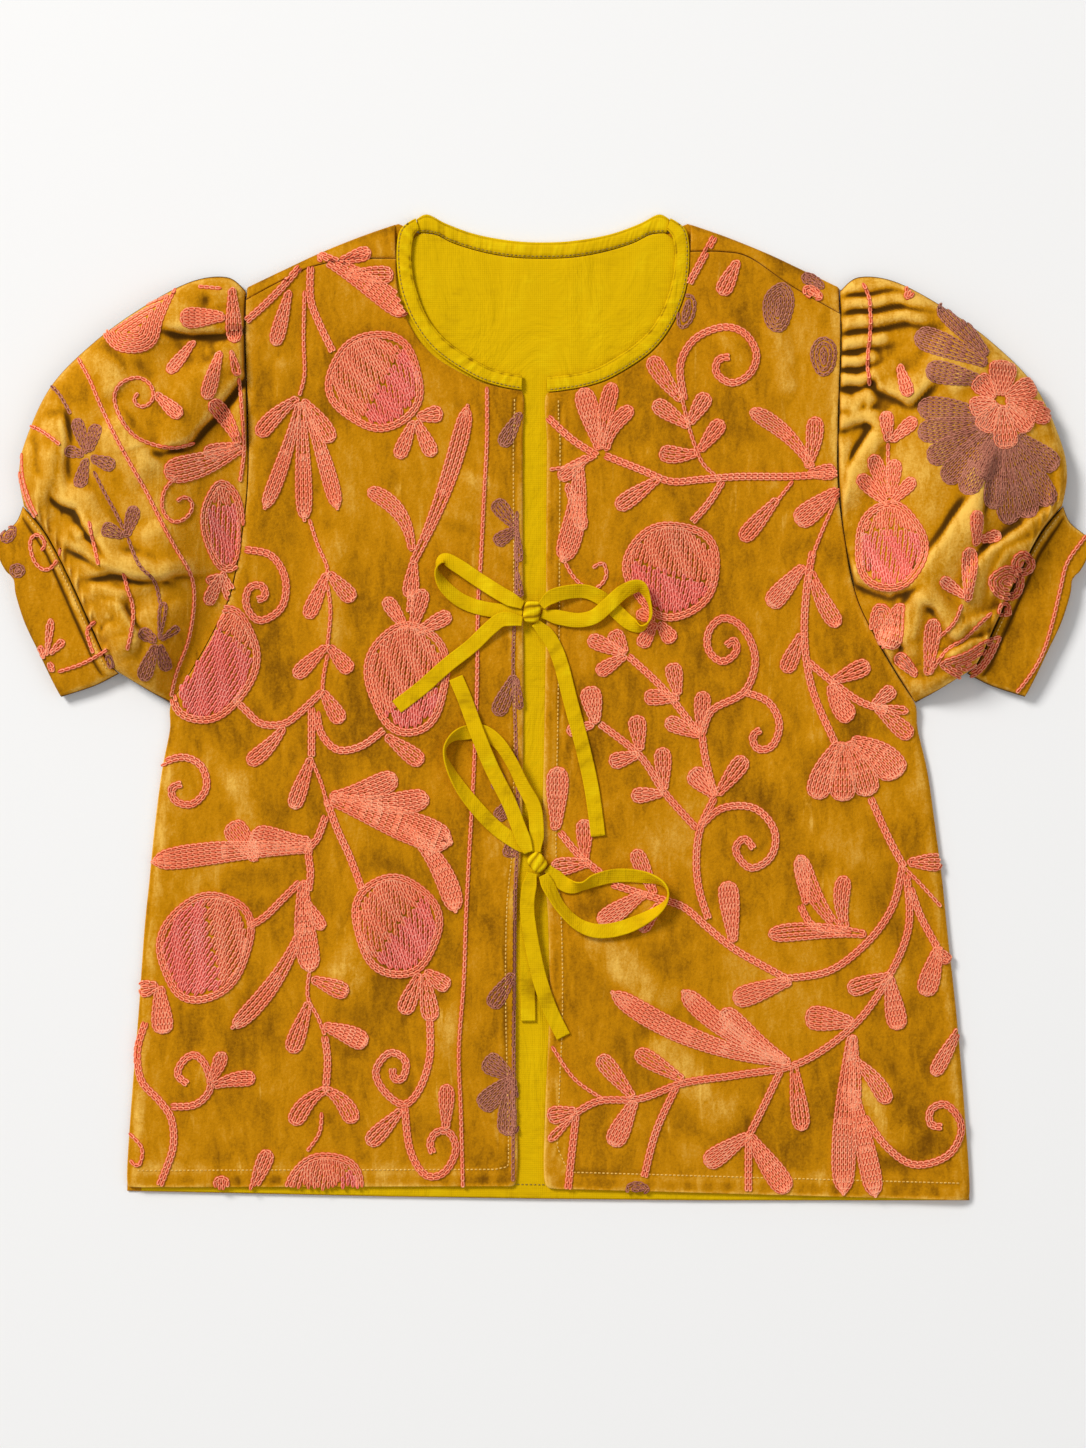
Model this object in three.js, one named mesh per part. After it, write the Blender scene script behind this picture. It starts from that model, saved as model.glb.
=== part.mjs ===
// A short-sleeved velvet jacket top with puff sleeves, a bound neck and two tied bows.
// It lies on its back: the fronts lie on the back panel and the sleeves are soft, hollow tubes.
// Millimetres, +Z up. +X runs to the wearer's left, +Y towards the neck, and the cloth rests on z = 0.
// The origin is under the middle of the garment's outline.
import * as THREE from "three";

// Cloth thicknesses and the gap that is kept at every seam
const VELVET = 1.6;
const LINING = 1.0;
const FRONT_CLOTH = 2.0;
const SEAM = 0.3;

// Heights of the layers over the floor
const LINING_BASE = VELVET + SEAM;
const FRONT_BASE = LINING_BASE + LINING + 0.4;
const FRONT_TOP = FRONT_BASE + FRONT_CLOTH;
const SIDE_DROP = 1.4;
const SIDE_DROP_REACH = 6;
const ARMHOLE_RISE = 2.7;
const ARMHOLE_RISE_REACH = 42;
const LINING_INSET = 9;
const SHOULDER_INSET = 18;
const EDGE_GAP = 0.5;

// Neck binding: a folded strip round the neck edge, with a rolled edge
const BINDING_TOP = FRONT_TOP + 0.9;
const BACK_BINDING_TOP = 3.6;
const BINDING_ROLL = 0.7;

// Sleeves and cuffs: flattened tubes of velvet
const SLEEVE_WALL = 1.8;
const SLEEVE_EDGE = 4.5;
const SLEEVE_ARMHOLE_TOP = 8.2;
const SLEEVE_PUFF = 27;
const SLEEVE_CUFF_TOP = 12.5;
const CUFF_WALL = 2.2;
const CUFF_TOP = 11.5;
const CUFF_MOUTH_TOP = 9.5;
const UNDER_TUCK = 4;
const LEAST_HOLLOW = 0.8;
const MOST_WALL_STRETCH = 1.7;
const SLOPE_STEP = 0.004;
const SLEEVE_ROUNDNESS = 2.8;
const CUFF_ROUNDNESS = 4;
const CUFF_WAVE = 0.8;

// Ties: sewn strips of lining cloth, pressed flat
const TIE_WIDTH = 9.2;
const TIE_THICK = 1.2;
const TIE_CLEARANCE = 0.55;
const TIE_GATHER = 0.62;
const TIE_GATHER_REACH = 11;
const KNOT_HALF_THICK = 2.6;

// Colours, from the photograph
const OCHRE = 0xb07a16;
const LIME = 0xc9b505;

// Edges of the cut. Each row is a point x, y on the wearer's left half, and the right half mirrors it.
const ARMHOLE = [
  [185, 260], [185.5, 226], [184, 180], [184, 140], [188, 105],
  [195, 70], [207, 44], [219, 23], [232, 3],
];
const SLEEVE_CAP = [
  [185, 260], [197, 268.5], [219, 266], [248, 251], [279.5, 228.5],
  [307, 200.5], [323, 166.5], [327, 145], [324, 126],
];
const SLEEVE_UNDER = [[232, 3], [247, 11], [264, 21.5]];
const CUFF_SEAM = [
  [324, 126], [309, 108], [294.5, 80.5], [281.5, 52], [271, 29], [264, 21.5],
];
const CUFF_MOUTH = [
  [339.4, 107], [339.4, 95], [335, 85.5], [330, 80], [328.4, 70],
  [323, 53], [315, 36], [306.5, 18], [300.6, 6.6],
];
const CUFF_TOP_EDGE = [[324, 126], [329, 115.5], [339.4, 107]];
const CUFF_LOW_EDGE = [[264, 21.5], [279.5, 13.5], [300.6, 6.6]];
const SHOULDER_EDGE = [[89.5, 302.5], [114, 294], [140, 283.5], [161, 273.5], [184.6, 262]];
const NECK_OUTER = [
  [2.7, 196.8], [13, 198], [28, 200.8], [44, 206.8], [66.4, 221.5],
  [80, 238.5], [88.5, 259], [91.3, 279], [90, 296], [84, 304],
];
const NECK_INNER = [
  [2.7, 206.4], [13, 207.3], [27, 209.8], [40.5, 215.6], [60, 229],
  [72, 243.5], [79.3, 262], [82, 279], [80.8, 293], [77.5, 298.5],
];
const BACK_NECK_TOP = [[-79, 305], [-72, 307.9], [-60, 302], [-42, 295.6], [-20, 291.6], [0, 290.5]];
const BACK_NECK_LOW = [[-77.5, 296.5], [-67, 295.5], [-55.8, 290], [-37, 284.4], [-18, 281.2], [0, 280.5]];
const BACK_HEM = [[-262, -302], [-190, -303.5], [-100, -305.5], [0, -307], [100, -308], [200, -308], [265, -307.9]];

// Each front is lofted between its inner edge (centre, then neck) and its outer edge (side, then armhole).
// Columns: inner x, inner y, outer x, outer y. Outer x is measured away from the centre line.
const FRONTS = {
  left: {
    sign: 1,
    rows: [
      [7, -300.3, 264, -307.6], [0.9, -294, 266.4, -299], [1.5, -250, 263, -248],
      [4, -190, 258.5, -195], [3.2, -130, 252.5, -140], [0.2, -100, 249.5, -110],
      [0, -60, 245, -75], [0.8, -25, 240, -40], [1.2, 0, 234, -14], [1.6, 22, 231.9, 3],
      [2, 60, 219, 23], [2.1, 90, 207, 44], [2.2, 112, 200.6, 57], [2.4, 134, 195, 70], [2.6, 165, 191, 87],
      [2.7, 196.5, 188, 105],
      [23, 199.2, 185, 130], [44, 206.4, 184, 155], [66.6, 221.1, 184.2, 185],
      [80.4, 238.3, 185, 212], [88.9, 258.9, 185.5, 232], [91.8, 284.4, 185, 245.3],
    ],
    seam: [[91.8, 284.4], [112, 284.2], [129, 280.5], [155, 262.8], [185, 245.3]],
  },
  right: {
    sign: -1,
    rows: [
      [-22, -298.8, 257, -299.5], [-16.2, -292, 259.8, -292], [-16.5, -240, 256.5, -240],
      [-17.8, -180, 252.5, -190], [-17, -125, 249, -140], [-13.6, -90, 246, -110],
      [-12.8, -55, 242.5, -75], [-12.4, -20, 238, -40], [-12.3, 5, 233, -14], [-12.3, 25, 231.9, 3],
      [-12.5, 60, 219, 23], [-12.6, 90, 207, 44], [-12.7, 112, 200.6, 57], [-12.8, 134, 195, 70], [-12.9, 165, 191, 87],
      [-13.1, 197.5, 188, 105],
      [-28, 200.3, 185, 130], [-46, 207.4, 184, 155], [-66.6, 221.1, 184.2, 185],
      [-80.4, 238.3, 185, 212], [-88.9, 258.9, 185.5, 232], [-91.8, 280, 185, 254],
    ],
    seam: [[91.8, 280], [120, 279.5], [145, 274.5], [166, 264.5], [185, 254]],
  },
};

// The row of a front's table that stands at the neck, and where the neck's edge passes the shoulder seam
const NECK_ROW = 15;
const NECK_SEAM_SHARE = 0.87;
const NECK_CENTRE_Y = 300;
const ARMHOLE_LOW = 3.5;

// Soft folds of the fronts. Columns: height, width, start x, start y, end x, end y.
const FRONT_FOLDS = [
  [2.4, 11, 112, 246, 140, 168],
  [2.0, 9, 142, 250, 156, 188],
  [1.8, 12, 60, 176, 84, 96],
  [2.8, 13, 18, -128, 84, -196],
  [2.2, 16, 130, -20, 214, -112],
  [2.4, 15, 172, -96, 232, -192],
  [1.8, 14, 60, -196, 128, -268],
  [2.0, 13, 196, -60, 168, -4],
  [1.6, 12, 196, -226, 226, -282],
  [2.2, 12, -162, 232, -170, 150],
  [1.8, 11, -128, 120, -132, 30],
  [2.0, 12, -196, -30, -168, -110],
  [2.4, 15, -92, -96, -128, -190],
  [1.8, 13, -196, -150, -214, -250],
  [1.8, 14, -58, -176, -66, -268],
  [1.6, 12, -40, 150, -52, 110],
];

// Gathers at a sleeve's cuff seam. Columns: place along the seam, width, height, reach, drift.
// The place runs from 0 at the top of the seam to 1 at its lower end.
const CUFF_GATHERS = {
  left: [
    [0.05, 0.02, 3, 0.12, 0.01], [0.12, 0.022, 4, 0.16, 0.02], [0.2, 0.02, 3.5, 0.12, 0.02],
    [0.28, 0.022, 4, 0.14, 0.02], [0.36, 0.02, 3, 0.1, 0.01], [0.44, 0.022, 4, 0.16, 0],
    [0.53, 0.024, 3.5, 0.12, 0], [0.62, 0.022, 4, 0.14, -0.02], [0.71, 0.024, 3.5, 0.12, -0.02],
    [0.8, 0.024, 4, 0.16, -0.03], [0.9, 0.026, 3, 0.12, -0.02],
  ],
  right: [
    [0.06, 0.022, 3, 0.12, 0.01], [0.14, 0.02, 3.5, 0.14, 0.02], [0.21, 0.022, 4, 0.12, 0.02],
    [0.3, 0.02, 3, 0.12, 0.01], [0.37, 0.022, 4, 0.16, 0.01], [0.45, 0.02, 3, 0.1, 0],
    [0.52, 0.024, 4, 0.14, 0], [0.6, 0.022, 3.5, 0.12, -0.01], [0.69, 0.024, 4, 0.14, -0.02],
    [0.78, 0.022, 3.5, 0.12, -0.02], [0.88, 0.026, 3.5, 0.14, -0.02],
  ],
};

// Folds of a sleeve and the gathers at its head.
// Columns: height, width on the left and on the right of the line, then the line's points x, y.
const SLEEVE_FOLDS = {
  right: [
    [7, 3, 12, -176, 242, -198, 237, -217, 236, -241, 241],
    [8, 3, 16, -176, 222, -191, 206, -209, 182, -223, 165, -243, 162],
    [4, 4, 4, -179, 257, -194, 257, -211, 253], [4, 4, 5, -179, 266, -194, 263, -217, 261],
    [4, 4, 4, -178, 230, -192, 227, -206, 221], [4, 4, 4, -179, 222, -197, 216, -211, 202],
    [5, 7, 5, -178, 201, -187, 185, -189, 160], [3, 10, 8, -204, 215, -214, 198, -228, 185],
    [-3, 8, 8, -217, 227, -236, 217, -256, 205], [4, 6, 10, -287, 226, -272, 210, -259, 192],
    [4, 5, 11, -269, 182, -257, 163, -237, 141], [3, 14, 14, -246, 261, -229, 255, -211, 247],
    [5, 3, 9, -301, 185, -299, 162, -300, 127], [5, 4, 5, -326, 172, -318, 143, -307, 111],
    [5, 4, 5, -306, 167, -308, 143, -314, 123],
    [7, 8, 3, -306, 135, -287, 125, -277, 111, -262, 88], [6, 7, 3, -302, 108, -282, 96, -262, 87, -239, 80],
    [4, 4, 3, -293, 105, -283, 112, -274, 107], [5, 6, 3, -292, 83, -269, 86, -239, 83, -206, 88],
    [5, 3, 6, -283, 65, -263, 60, -254, 46, -257, 30], [4, 4, 4, -286, 73, -271, 71, -256, 65],
    [-2, 5, 5, -263, 62, -242, 67, -221, 75], [4, 4, 4, -274, 50, -266, 45, -261, 28],
    [3, 12, 12, -246, 117, -239, 97, -246, 80],
  ],
  left: [
    [4, 5, 5, 177, 268, 199, 269, 221, 264], [5, 4.5, 3.5, 177, 259, 202, 262, 222, 262, 243, 253],
    [6, 4.5, 3.5, 177, 248, 202, 252, 221, 255, 238, 255], [7, 6, 3, 177, 235, 202, 238, 223, 243, 239, 252],
    [5, 4, 3, 177, 223, 198, 225, 214, 230], [5, 4, 3, 177, 213, 196, 213, 209, 221],
    [6, 4.5, 3, 177, 202, 196, 202, 208, 210], [6, 9, 3, 203, 220, 211, 200, 226, 192, 247, 210],
    [5, 4, 3, 178, 190, 193, 188, 201, 193, 206, 186], [5, 4, 3, 178, 176, 192, 180, 201, 182, 213, 177],
    [6, 6, 3, 213, 181, 203, 165, 193, 146, 188, 117], [3, 4, 4, 186, 173, 187, 148, 184, 117],
    [6, 13, 3, 271, 132, 257, 115, 243, 95, 222, 67], [6, 3, 7, 279, 163, 272, 143, 268, 122, 268, 97],
    [4, 16, 16, 242, 236, 261, 223, 273, 198], [4, 4, 4, 314, 172, 323, 151, 323, 130, 314, 115],
    [6, 6, 3, 189, 95, 198, 80, 216, 73, 233, 80], [6, 5, 3, 236, 76, 228, 61, 226, 42, 228, 20],
    [6, 6, 3, 229, 72, 244, 63, 256, 47, 263, 42], [6, 4, 4, 231, 51, 216, 41, 213, 25, 226, 12, 247, 11],
    [8, 3, 9, 262, 60, 267, 83, 279, 98, 297, 107, 319, 126], [6, 3, 8, 279, 61, 281, 80, 289, 95, 311, 105],
    [6, 3, 7, 239, 27, 261, 35, 279, 42, 298, 57], [5, 4, 4, 261, 47, 272, 53, 292, 58, 301, 65],
    [5, 4, 4, 242, 11, 261, 20, 277, 30], [4, 4, 4, 318, 122, 308, 115, 297, 112],
    [4, 4, 4, 314, 107, 304, 101, 294, 92],
  ],
};
const FOLD_LIMIT = 10;
const LEAST_FOLD_WIDTH = 5;
const SEAM_SHARE = 0.03;
const MOST_FRONT_FOLD = 3.4;

// Stretches of the tied ribbons. Columns: x, y, lift over the fronts, roll about the ribbon's line in degrees.
const TIE_KNOTS = {
  knot_upper: { x: -6.9, y: 59.7, lift: 3.6, long: 15, wide: 11, turn: 80 },
  knot_lower: { x: -3.6, y: -96.5, lift: 3.6, long: 13, wide: 11, turn: -52 },
};
const TIES = {
  loop_upper_right: [
    [-12.4, 63.8, 3.8, 0], [-24, 69.4, 4.2, 0], [-39.4, 79, 3.6, 5], [-53.1, 88.2, 3.6, 12], [-62, 92.6, 4.4, 45],
    [-66.2, 86.5, 5.2, 95], [-62.5, 77, 4.2, 140], [-54, 68.6, 2.2, 165], [-44, 63.6, 1.2, 180],
    [-32, 60.8, 1.2, 180], [-20, 59.6, 1.6, 180], [-12.9, 58.8, 1.8, 180],
  ],
  loop_upper_left: [
    [-1, 63.2, 4.6, 0], [5, 68.6, 5.2, 10], [14, 71.6, 4.4, 20], [25.6, 72.4, 2.6, 20], [35.6, 68.6, 1.4, 8],
    [45, 60.6, 1.2, 0], [54, 52.6, 1.6, 20], [62, 49.8, 4.6, 70], [66.8, 56, 5.2, 95], [66, 66, 5.2, 100],
    [60.5, 75.4, 5.4, 140], [50.5, 72.4, 5, 165], [40.4, 63.6, 4.4, 180], [31.9, 56.6, 3.6, 180],
    [21.9, 54.4, 2, 180], [10.6, 56, 2, 180], [-0.8, 58.4, 2.2, 180],
  ],
  tail_upper_right: [
    [-12.9, 53.6, 3.4, 0], [-24.6, 55, 4, 0], [-33, 49.4, 3.2, 0], [-45, 38, 1.5, 0],
    [-60, 26.2, 2.6, 0], [-76, 12, 1.2, 0], [-91.3, 0.3, 1, 0],
  ],
  tail_upper_left: [
    [-4.9, 52.8, 3, 0], [4.2, 43, 1.4, 0], [10.6, 29, 1.2, 0], [16.9, 5, 1.1, 0],
    [25, -26, 1.1, 0], [30.6, -52, 1.1, 0], [34.4, -80.3, 1.1, 0],
  ],
  loop_lower_right: [
    [-9.8, -88.2, 1.4, 0], [-29.4, -75, 1.4, 0], [-46.5, -56.4, 2.2, 25], [-57.1, -40, 4.2, 60],
    [-61.4, -27, 4.8, 85], [-56, -18.4, 4.2, 60], [-46.4, -15.4, 1, 8], [-36.9, -15.6, 1, 8],
    [-27.4, -22.4, 2.2, 30], [-19.4, -34.4, 3, 35], [-12.6, -48.4, 3, 30], [-5.6, -62, 2.6, 10],
    [-4, -76, 2.4, 0], [-4.2, -90.2, 3.4, 0],
  ],
  loop_lower_left: [
    [2.6, -100.2, 2.2, 0], [14, -110.6, 1.8, 0], [24, -111.4, 4.4, 55], [33, -107.6, 3.4, 30],
    [46, -104.8, 2.4, 20], [62, -105.6, 3.4, 35], [74.4, -109.6, 4.8, 75], [78, -117.4, 5, 90],
    [71.5, -126.4, 4.4, 60], [53.5, -136, 3, 15], [36, -139.4, 2.4, 12], [22.4, -135.4, 2.8, 35],
    [11.4, -125, 4, 45], [4.6, -113.6, 5, 30], [0.2, -104.4, 4.8, 10],
  ],
  tail_lower_up: [
    [-9, -90.4, 5, 0], [-15.4, -74, 4.6, 0], [-21.4, -58.8, 3.6, 0], [-31.2, -39.4, 3.4, 0],
    [-39.4, -20, 5.4, 0], [-48.4, 4.4, 1.4, 0], [-54.4, 18.6, 1, 0],
  ],
  tail_lower_gap: [
    [-7.2, -102.8, 1.2, 0], [-9, -114, -0.4, 0], [-9.4, -126, -1.5, 0], [-9.6, -150, -1.5, 0],
    [-9.4, -174, -1.5, 0], [-9.2, -195.9, -1.5, 0],
  ],
  tail_lower_left: [
    [-6.4, -103.4, 3.4, 0], [-9, -114.8, 3, 8], [-9.8, -126, 2.4, 8], [-8.2, -140, 1.8, 8], [-5.6, -154, 1.4, 6],
    [-2.4, -168, 1.6, 0], [2, -182, 1.8, 0], [7, -194, 1.4, 0], [12.8, -205.3, 1.2, 0],
  ],
};

// Mesh density
const FRONT_COLUMNS = 14;
const FRONT_ROWS = 28;
const SIDE_COLUMN = 0.966;
const SLEEVE_STATIONS = [0, 0.04, 0.09, 0.15, 0.22, 0.3, 0.38, 0.46, 0.54, 0.62, 0.7, 0.78, 0.85, 0.91, 0.96, 1];
const SLEEVE_COLUMNS = 50;
const SLEEVE_FLOOR_COLUMNS = 7;
const CUFF_STATIONS = [0, 0.25, 0.5, 0.75, 1];
const CUFF_COLUMNS = 18;
const CUFF_FLOOR_COLUMNS = 7;

function lerp(a, b, f) {
  return a + (b - a) * f;
}

function smoothstep(low, high, x) {
  const f = Math.min(1, Math.max(0, (x - low) / (high - low)));
  return f * f * (3 - 2 * f);
}

// A smooth curve through rows of numbers; f runs from 0 at the first row to 1 at the last.
function spline(rows, f) {
  const last = rows.length - 1;
  const place = Math.min(last, Math.max(0, f * last));
  const i = Math.min(last - 1, Math.floor(place));
  const u = place - i;
  const before = rows[Math.max(0, i - 1)];
  const after = rows[Math.min(last, i + 2)];
  return rows[i].map((value, k) => {
    const next = rows[i + 1][k];
    const pull = (next - before[k]) / 2;
    const push = (after[k] - value) / 2;
    const u2 = u * u;
    const u3 = u2 * u;
    return (2 * value - 2 * next + pull + push) * u3 + (3 * next - 3 * value - 2 * pull - push) * u2 + pull * u + value;
  });
}

// The same curve by its length, so that equal steps of f are equal distances in x and y.
function evenCurve(rows, samples = 160) {
  const points = Array.from({ length: samples + 1 }, (_, i) => spline(rows, i / samples));
  const lengths = [0];
  for (let i = 1; i <= samples; i++) {
    lengths.push(lengths[i - 1] + Math.hypot(points[i][0] - points[i - 1][0], points[i][1] - points[i - 1][1]));
  }
  return (f) => {
    const target = Math.min(1, Math.max(0, f)) * lengths[samples];
    let i = 1;
    while (i < samples && lengths[i] < target) i++;
    const share = (target - lengths[i - 1]) / (lengths[i] - lengths[i - 1] || 1);
    return points[i].map((value, k) => lerp(points[i - 1][k], value, share));
  };
}

// A patch between four edge curves; s runs from near to far and t from high to low.
function patch(near, far, high, low) {
  return (s, t) =>
    [0, 1].map((k) => {
      const ruled = lerp(near(t)[k], far(t)[k], s) + lerp(high(s)[k], low(s)[k], t);
      const corners = lerp(lerp(near(0)[k], near(1)[k], t), lerp(far(0)[k], far(1)[k], t), s);
      return ruled - corners;
    });
}

// Where a point stands beside a line of points: its distance, its side and its share of the line's length.
function besideLine(line, x, y) {
  let best = { away: Infinity, side: 1, share: 0 };
  const spans = line.length - 1;
  for (let i = 0; i < spans; i++) {
    const [ax, ay] = line[i];
    const [dx, dy] = [line[i + 1][0] - ax, line[i + 1][1] - ay];
    const f = Math.min(1, Math.max(0, ((x - ax) * dx + (y - ay) * dy) / (dx * dx + dy * dy)));
    const away = Math.hypot(x - ax - f * dx, y - ay - f * dy);
    if (away < best.away) {
      best = { away, side: Math.sign(dx * (y - ay) - dy * (x - ax)) || 1, share: (i + f) / spans };
    }
  }
  return best;
}

// The height that a soft fold adds at a point, with a width of its own on each side of its line.
function foldHeight(height, widthA, widthB, line, x, y) {
  const { away, side, share } = besideLine(line, x, y);
  const width = side > 0 ? widthA : widthB;
  const fade = smoothstep(0, 0.25, share) * smoothstep(1, 0.75, share);
  return height * Math.exp(-((away / width) ** 2)) * (0.15 + 0.85 * fade);
}

// How far the armhole lies from the centre line at a given y.
const armholeX = (() => {
  const curve = evenCurve(ARMHOLE);
  const points = Array.from({ length: 81 }, (_, i) => curve(i / 80));
  return (y) => {
    const i = points.findIndex((p) => p[1] <= y);
    if (i <= 0) return points[i < 0 ? points.length - 1 : 0][0];
    const [a, b] = [points[i - 1], points[i]];
    return lerp(a[0], b[0], (a[1] - y) / (a[1] - b[1]));
  };
})();

// Where a front's inner edge stands at a given y, from the hem up to the neck.
function innerEdgeX(side, y) {
  const { rows } = FRONTS[side];
  const i = Math.max(1, rows.findIndex((row, k) => k > 0 && row[1] >= y));
  const [a, b] = [rows[i - 1], rows[i]];
  return lerp(a[0], b[0], Math.min(1, Math.max(0, (y - a[1]) / (b[1] - a[1]))));
}

// Height of the fronts' upper face over the floor, away from the side seams.
function frontTop(x, y) {
  let rise = 0;
  for (const [height, width, ax, ay, bx, by] of FRONT_FOLDS) {
    rise += foldHeight(height, width, width, [[ax, ay], [bx, by]], x, y);
  }
  const fromArmhole = armholeX(y) - Math.abs(x);
  const bulk = ARMHOLE_RISE * (1 - smoothstep(0, ARMHOLE_RISE_REACH, fromArmhole)) * smoothstep(-30, 30, y);
  return FRONT_TOP + Math.min(MOST_FRONT_FOLD, Math.max(rise, bulk));
}

// The face that lies uppermost at a point: a front, or the lining between the fronts.
function restingTop(x, y) {
  const between = x > innerEdgeX("right", y) && x < innerEdgeX("left", y);
  return between ? LINING_BASE + LINING : frontTop(x, y);
}

// A closed mesh from points and triangles, turned to face out.
function closedMesh(name, points, triangles, colour) {
  let volume = 0;
  for (const [a, b, c] of triangles) {
    const [p, q, r] = [points[a], points[b], points[c]];
    volume += p[0] * (q[1] * r[2] - q[2] * r[1]) - p[1] * (q[0] * r[2] - q[2] * r[0]) + p[2] * (q[0] * r[1] - q[1] * r[0]);
  }
  const facing = volume < 0 ? triangles.map(([a, b, c]) => [a, c, b]) : triangles;
  const geometry = new THREE.BufferGeometry();
  geometry.setAttribute("position", new THREE.Float32BufferAttribute(points.flat(), 3));
  geometry.setIndex(facing.flat());
  geometry.computeVertexNormals();
  const material = new THREE.MeshStandardMaterial({ color: colour, roughness: 0.9, metalness: 0 });
  const mesh = new THREE.Mesh(geometry, material);
  mesh.name = name;
  return mesh;
}

// A sheet from a grid of rows; place(column, row) gives x, y, its upper z and its lower z.
function sheet(name, columns, rows, place, colour) {
  const points = [];
  for (const layer of [2, 3]) {
    for (let j = 0; j <= rows; j++) {
      for (let i = 0; i <= columns; i++) {
        const found = place(i / columns, j / rows);
        points.push([found[0], found[1], found[layer]]);
      }
    }
  }
  const half = (columns + 1) * (rows + 1);
  const at = (i, j) => j * (columns + 1) + i;
  const triangles = [];
  const quad = (a, b, c, d) => triangles.push([a, b, c], [a, c, d]);
  for (let j = 0; j < rows; j++) {
    for (let i = 0; i < columns; i++) {
      quad(at(i, j), at(i + 1, j), at(i + 1, j + 1), at(i, j + 1));
      quad(half + at(i, j), half + at(i, j + 1), half + at(i + 1, j + 1), half + at(i + 1, j));
    }
  }
  const rim = [];
  for (let i = 0; i < columns; i++) rim.push(at(i, 0));
  for (let j = 0; j < rows; j++) rim.push(at(columns, j));
  for (let i = columns; i > 0; i--) rim.push(at(i, rows));
  for (let j = rows; j > 0; j--) rim.push(at(0, j));
  rim.forEach((a, i) => {
    const b = rim[(i + 1) % rim.length];
    quad(a, half + a, half + b, b);
  });
  return closedMesh(name, points, triangles, colour);
}

// A tube of cloth from rings of outer points and, where it is hollow, rings of inner points.
function tube(name, outerRings, innerRings, colour) {
  const n = outerRings[0].length;
  const points = [...outerRings.flat()];
  const triangles = [];
  const quad = (a, b, c, d) => triangles.push([a, b, c], [a, c, d]);
  const wall = (start, count, flip) => {
    for (let r = 0; r < count - 1; r++) {
      for (let i = 0; i < n; i++) {
        const a = start + r * n + i;
        const b = start + r * n + ((i + 1) % n);
        if (flip) quad(a, a + n, b + n, b);
        else quad(a, b, b + n, a + n);
      }
    }
  };
  wall(0, outerRings.length, false);
  const lastOuter = (outerRings.length - 1) * n;
  if (innerRings) {
    const start = points.length;
    points.push(...innerRings.flat());
    wall(start, innerRings.length, true);
    const lastInner = start + (innerRings.length - 1) * n;
    for (let i = 0; i < n; i++) {
      const k = (i + 1) % n;
      quad(i, start + i, start + k, k);
      quad(lastOuter + i, lastOuter + k, lastInner + k, lastInner + i);
    }
  } else {
    for (let i = 1; i < n - 1; i++) {
      triangles.push([0, i + 1, i], [lastOuter, lastOuter + i, lastOuter + i + 1]);
    }
  }
  return closedMesh(name, points, triangles, colour);
}

// A flattened tube on the floor. plan(s, t) gives x, y and top(s, t) the height of its upper face.
function flattenedTube(name, { plan, top, stations, columns, floorColumns, wall, colour }) {
  const outerRings = [];
  const innerRings = [];
  for (const s of stations) {
    const [high, low] = [plan(s, 0), plan(s, 1)];
    const across = Math.hypot(high[0] - low[0], high[1] - low[1]);
    const inset = wall / across;
    const tuck = UNDER_TUCK / across;
    const outer = [];
    const inner = [];
    for (let i = 0; i <= columns; i++) {
      const t = i / columns;
      outer.push([...plan(s, t), top(s, t)]);
      const within = lerp(inset, 1 - inset, t);
      const [before, after] = [within - SLOPE_STEP, within + SLOPE_STEP];
      const [p, q] = [plan(s, before), plan(s, after)];
      const slope = (top(s, after) - top(s, before)) / Math.hypot(q[0] - p[0], q[1] - p[1]);
      const depth = wall * Math.min(MOST_WALL_STRETCH, Math.hypot(1, slope));
      inner.push([...plan(s, within), Math.max(wall + LEAST_HOLLOW, top(s, within) - depth)]);
    }
    for (let i = 0; i < floorColumns; i++) {
      const t = 1 - i / (floorColumns - 1);
      outer.push([...plan(s, lerp(tuck, 1 - tuck, t)), 0]);
      inner.push([...plan(s, lerp(tuck + inset / 2, 1 - tuck - inset / 2, t)), wall]);
    }
    outerRings.push(outer);
    innerRings.push(inner);
  }
  return tube(name, outerRings, innerRings, colour);
}

// The rounded height of a flattened tube across its width, from 0 at its edges to 1 in the middle.
function rounded(t, roundness) {
  return Math.pow(Math.max(0, 1 - Math.pow(Math.abs(2 * t - 1), roundness)), 1 / roundness);
}

// A back panel or its lining: a flat sheet with the garment's outline.
function outlinePoints(inset) {
  const right = [];
  const left = [];
  const steps = 8;
  const drop = inset > 0 ? SHOULDER_INSET : 0;
  for (const [side, list] of [["left", left], ["right", right]]) {
    const { sign, rows } = FRONTS[side];
    rows.slice(1, 10).forEach((row) => list.push([sign * (row[2] - inset), row[3]]));
    const armhole = evenCurve(ARMHOLE);
    for (let i = 1; i < steps * 2; i++) {
      const p = armhole(1 - i / (steps * 2));
      list.push([sign * (p[0] - inset), p[1] + inset * 0.2]);
    }
    SHOULDER_EDGE.slice().reverse().forEach((p) => list.push([sign * (p[0] - inset * 0.3), p[1] - drop]));
  }
  const neck = evenCurve(BACK_NECK_LOW);
  const neckHalf = Array.from({ length: steps + 1 }, (_, i) => neck(i / steps));
  const neckLine = [
    ...neckHalf.map(([x, y]) => [-x, y - SEAM]),
    ...neckHalf.slice(0, -1).reverse().map(([x, y]) => [x, y - SEAM]),
  ];
  const hem = BACK_HEM.map(([x, y]) => [x * (1 - inset / 200), y + Math.min(inset, 0.5)]);
  return [...hem, ...left, ...neckLine, ...right.reverse()];
}

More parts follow.
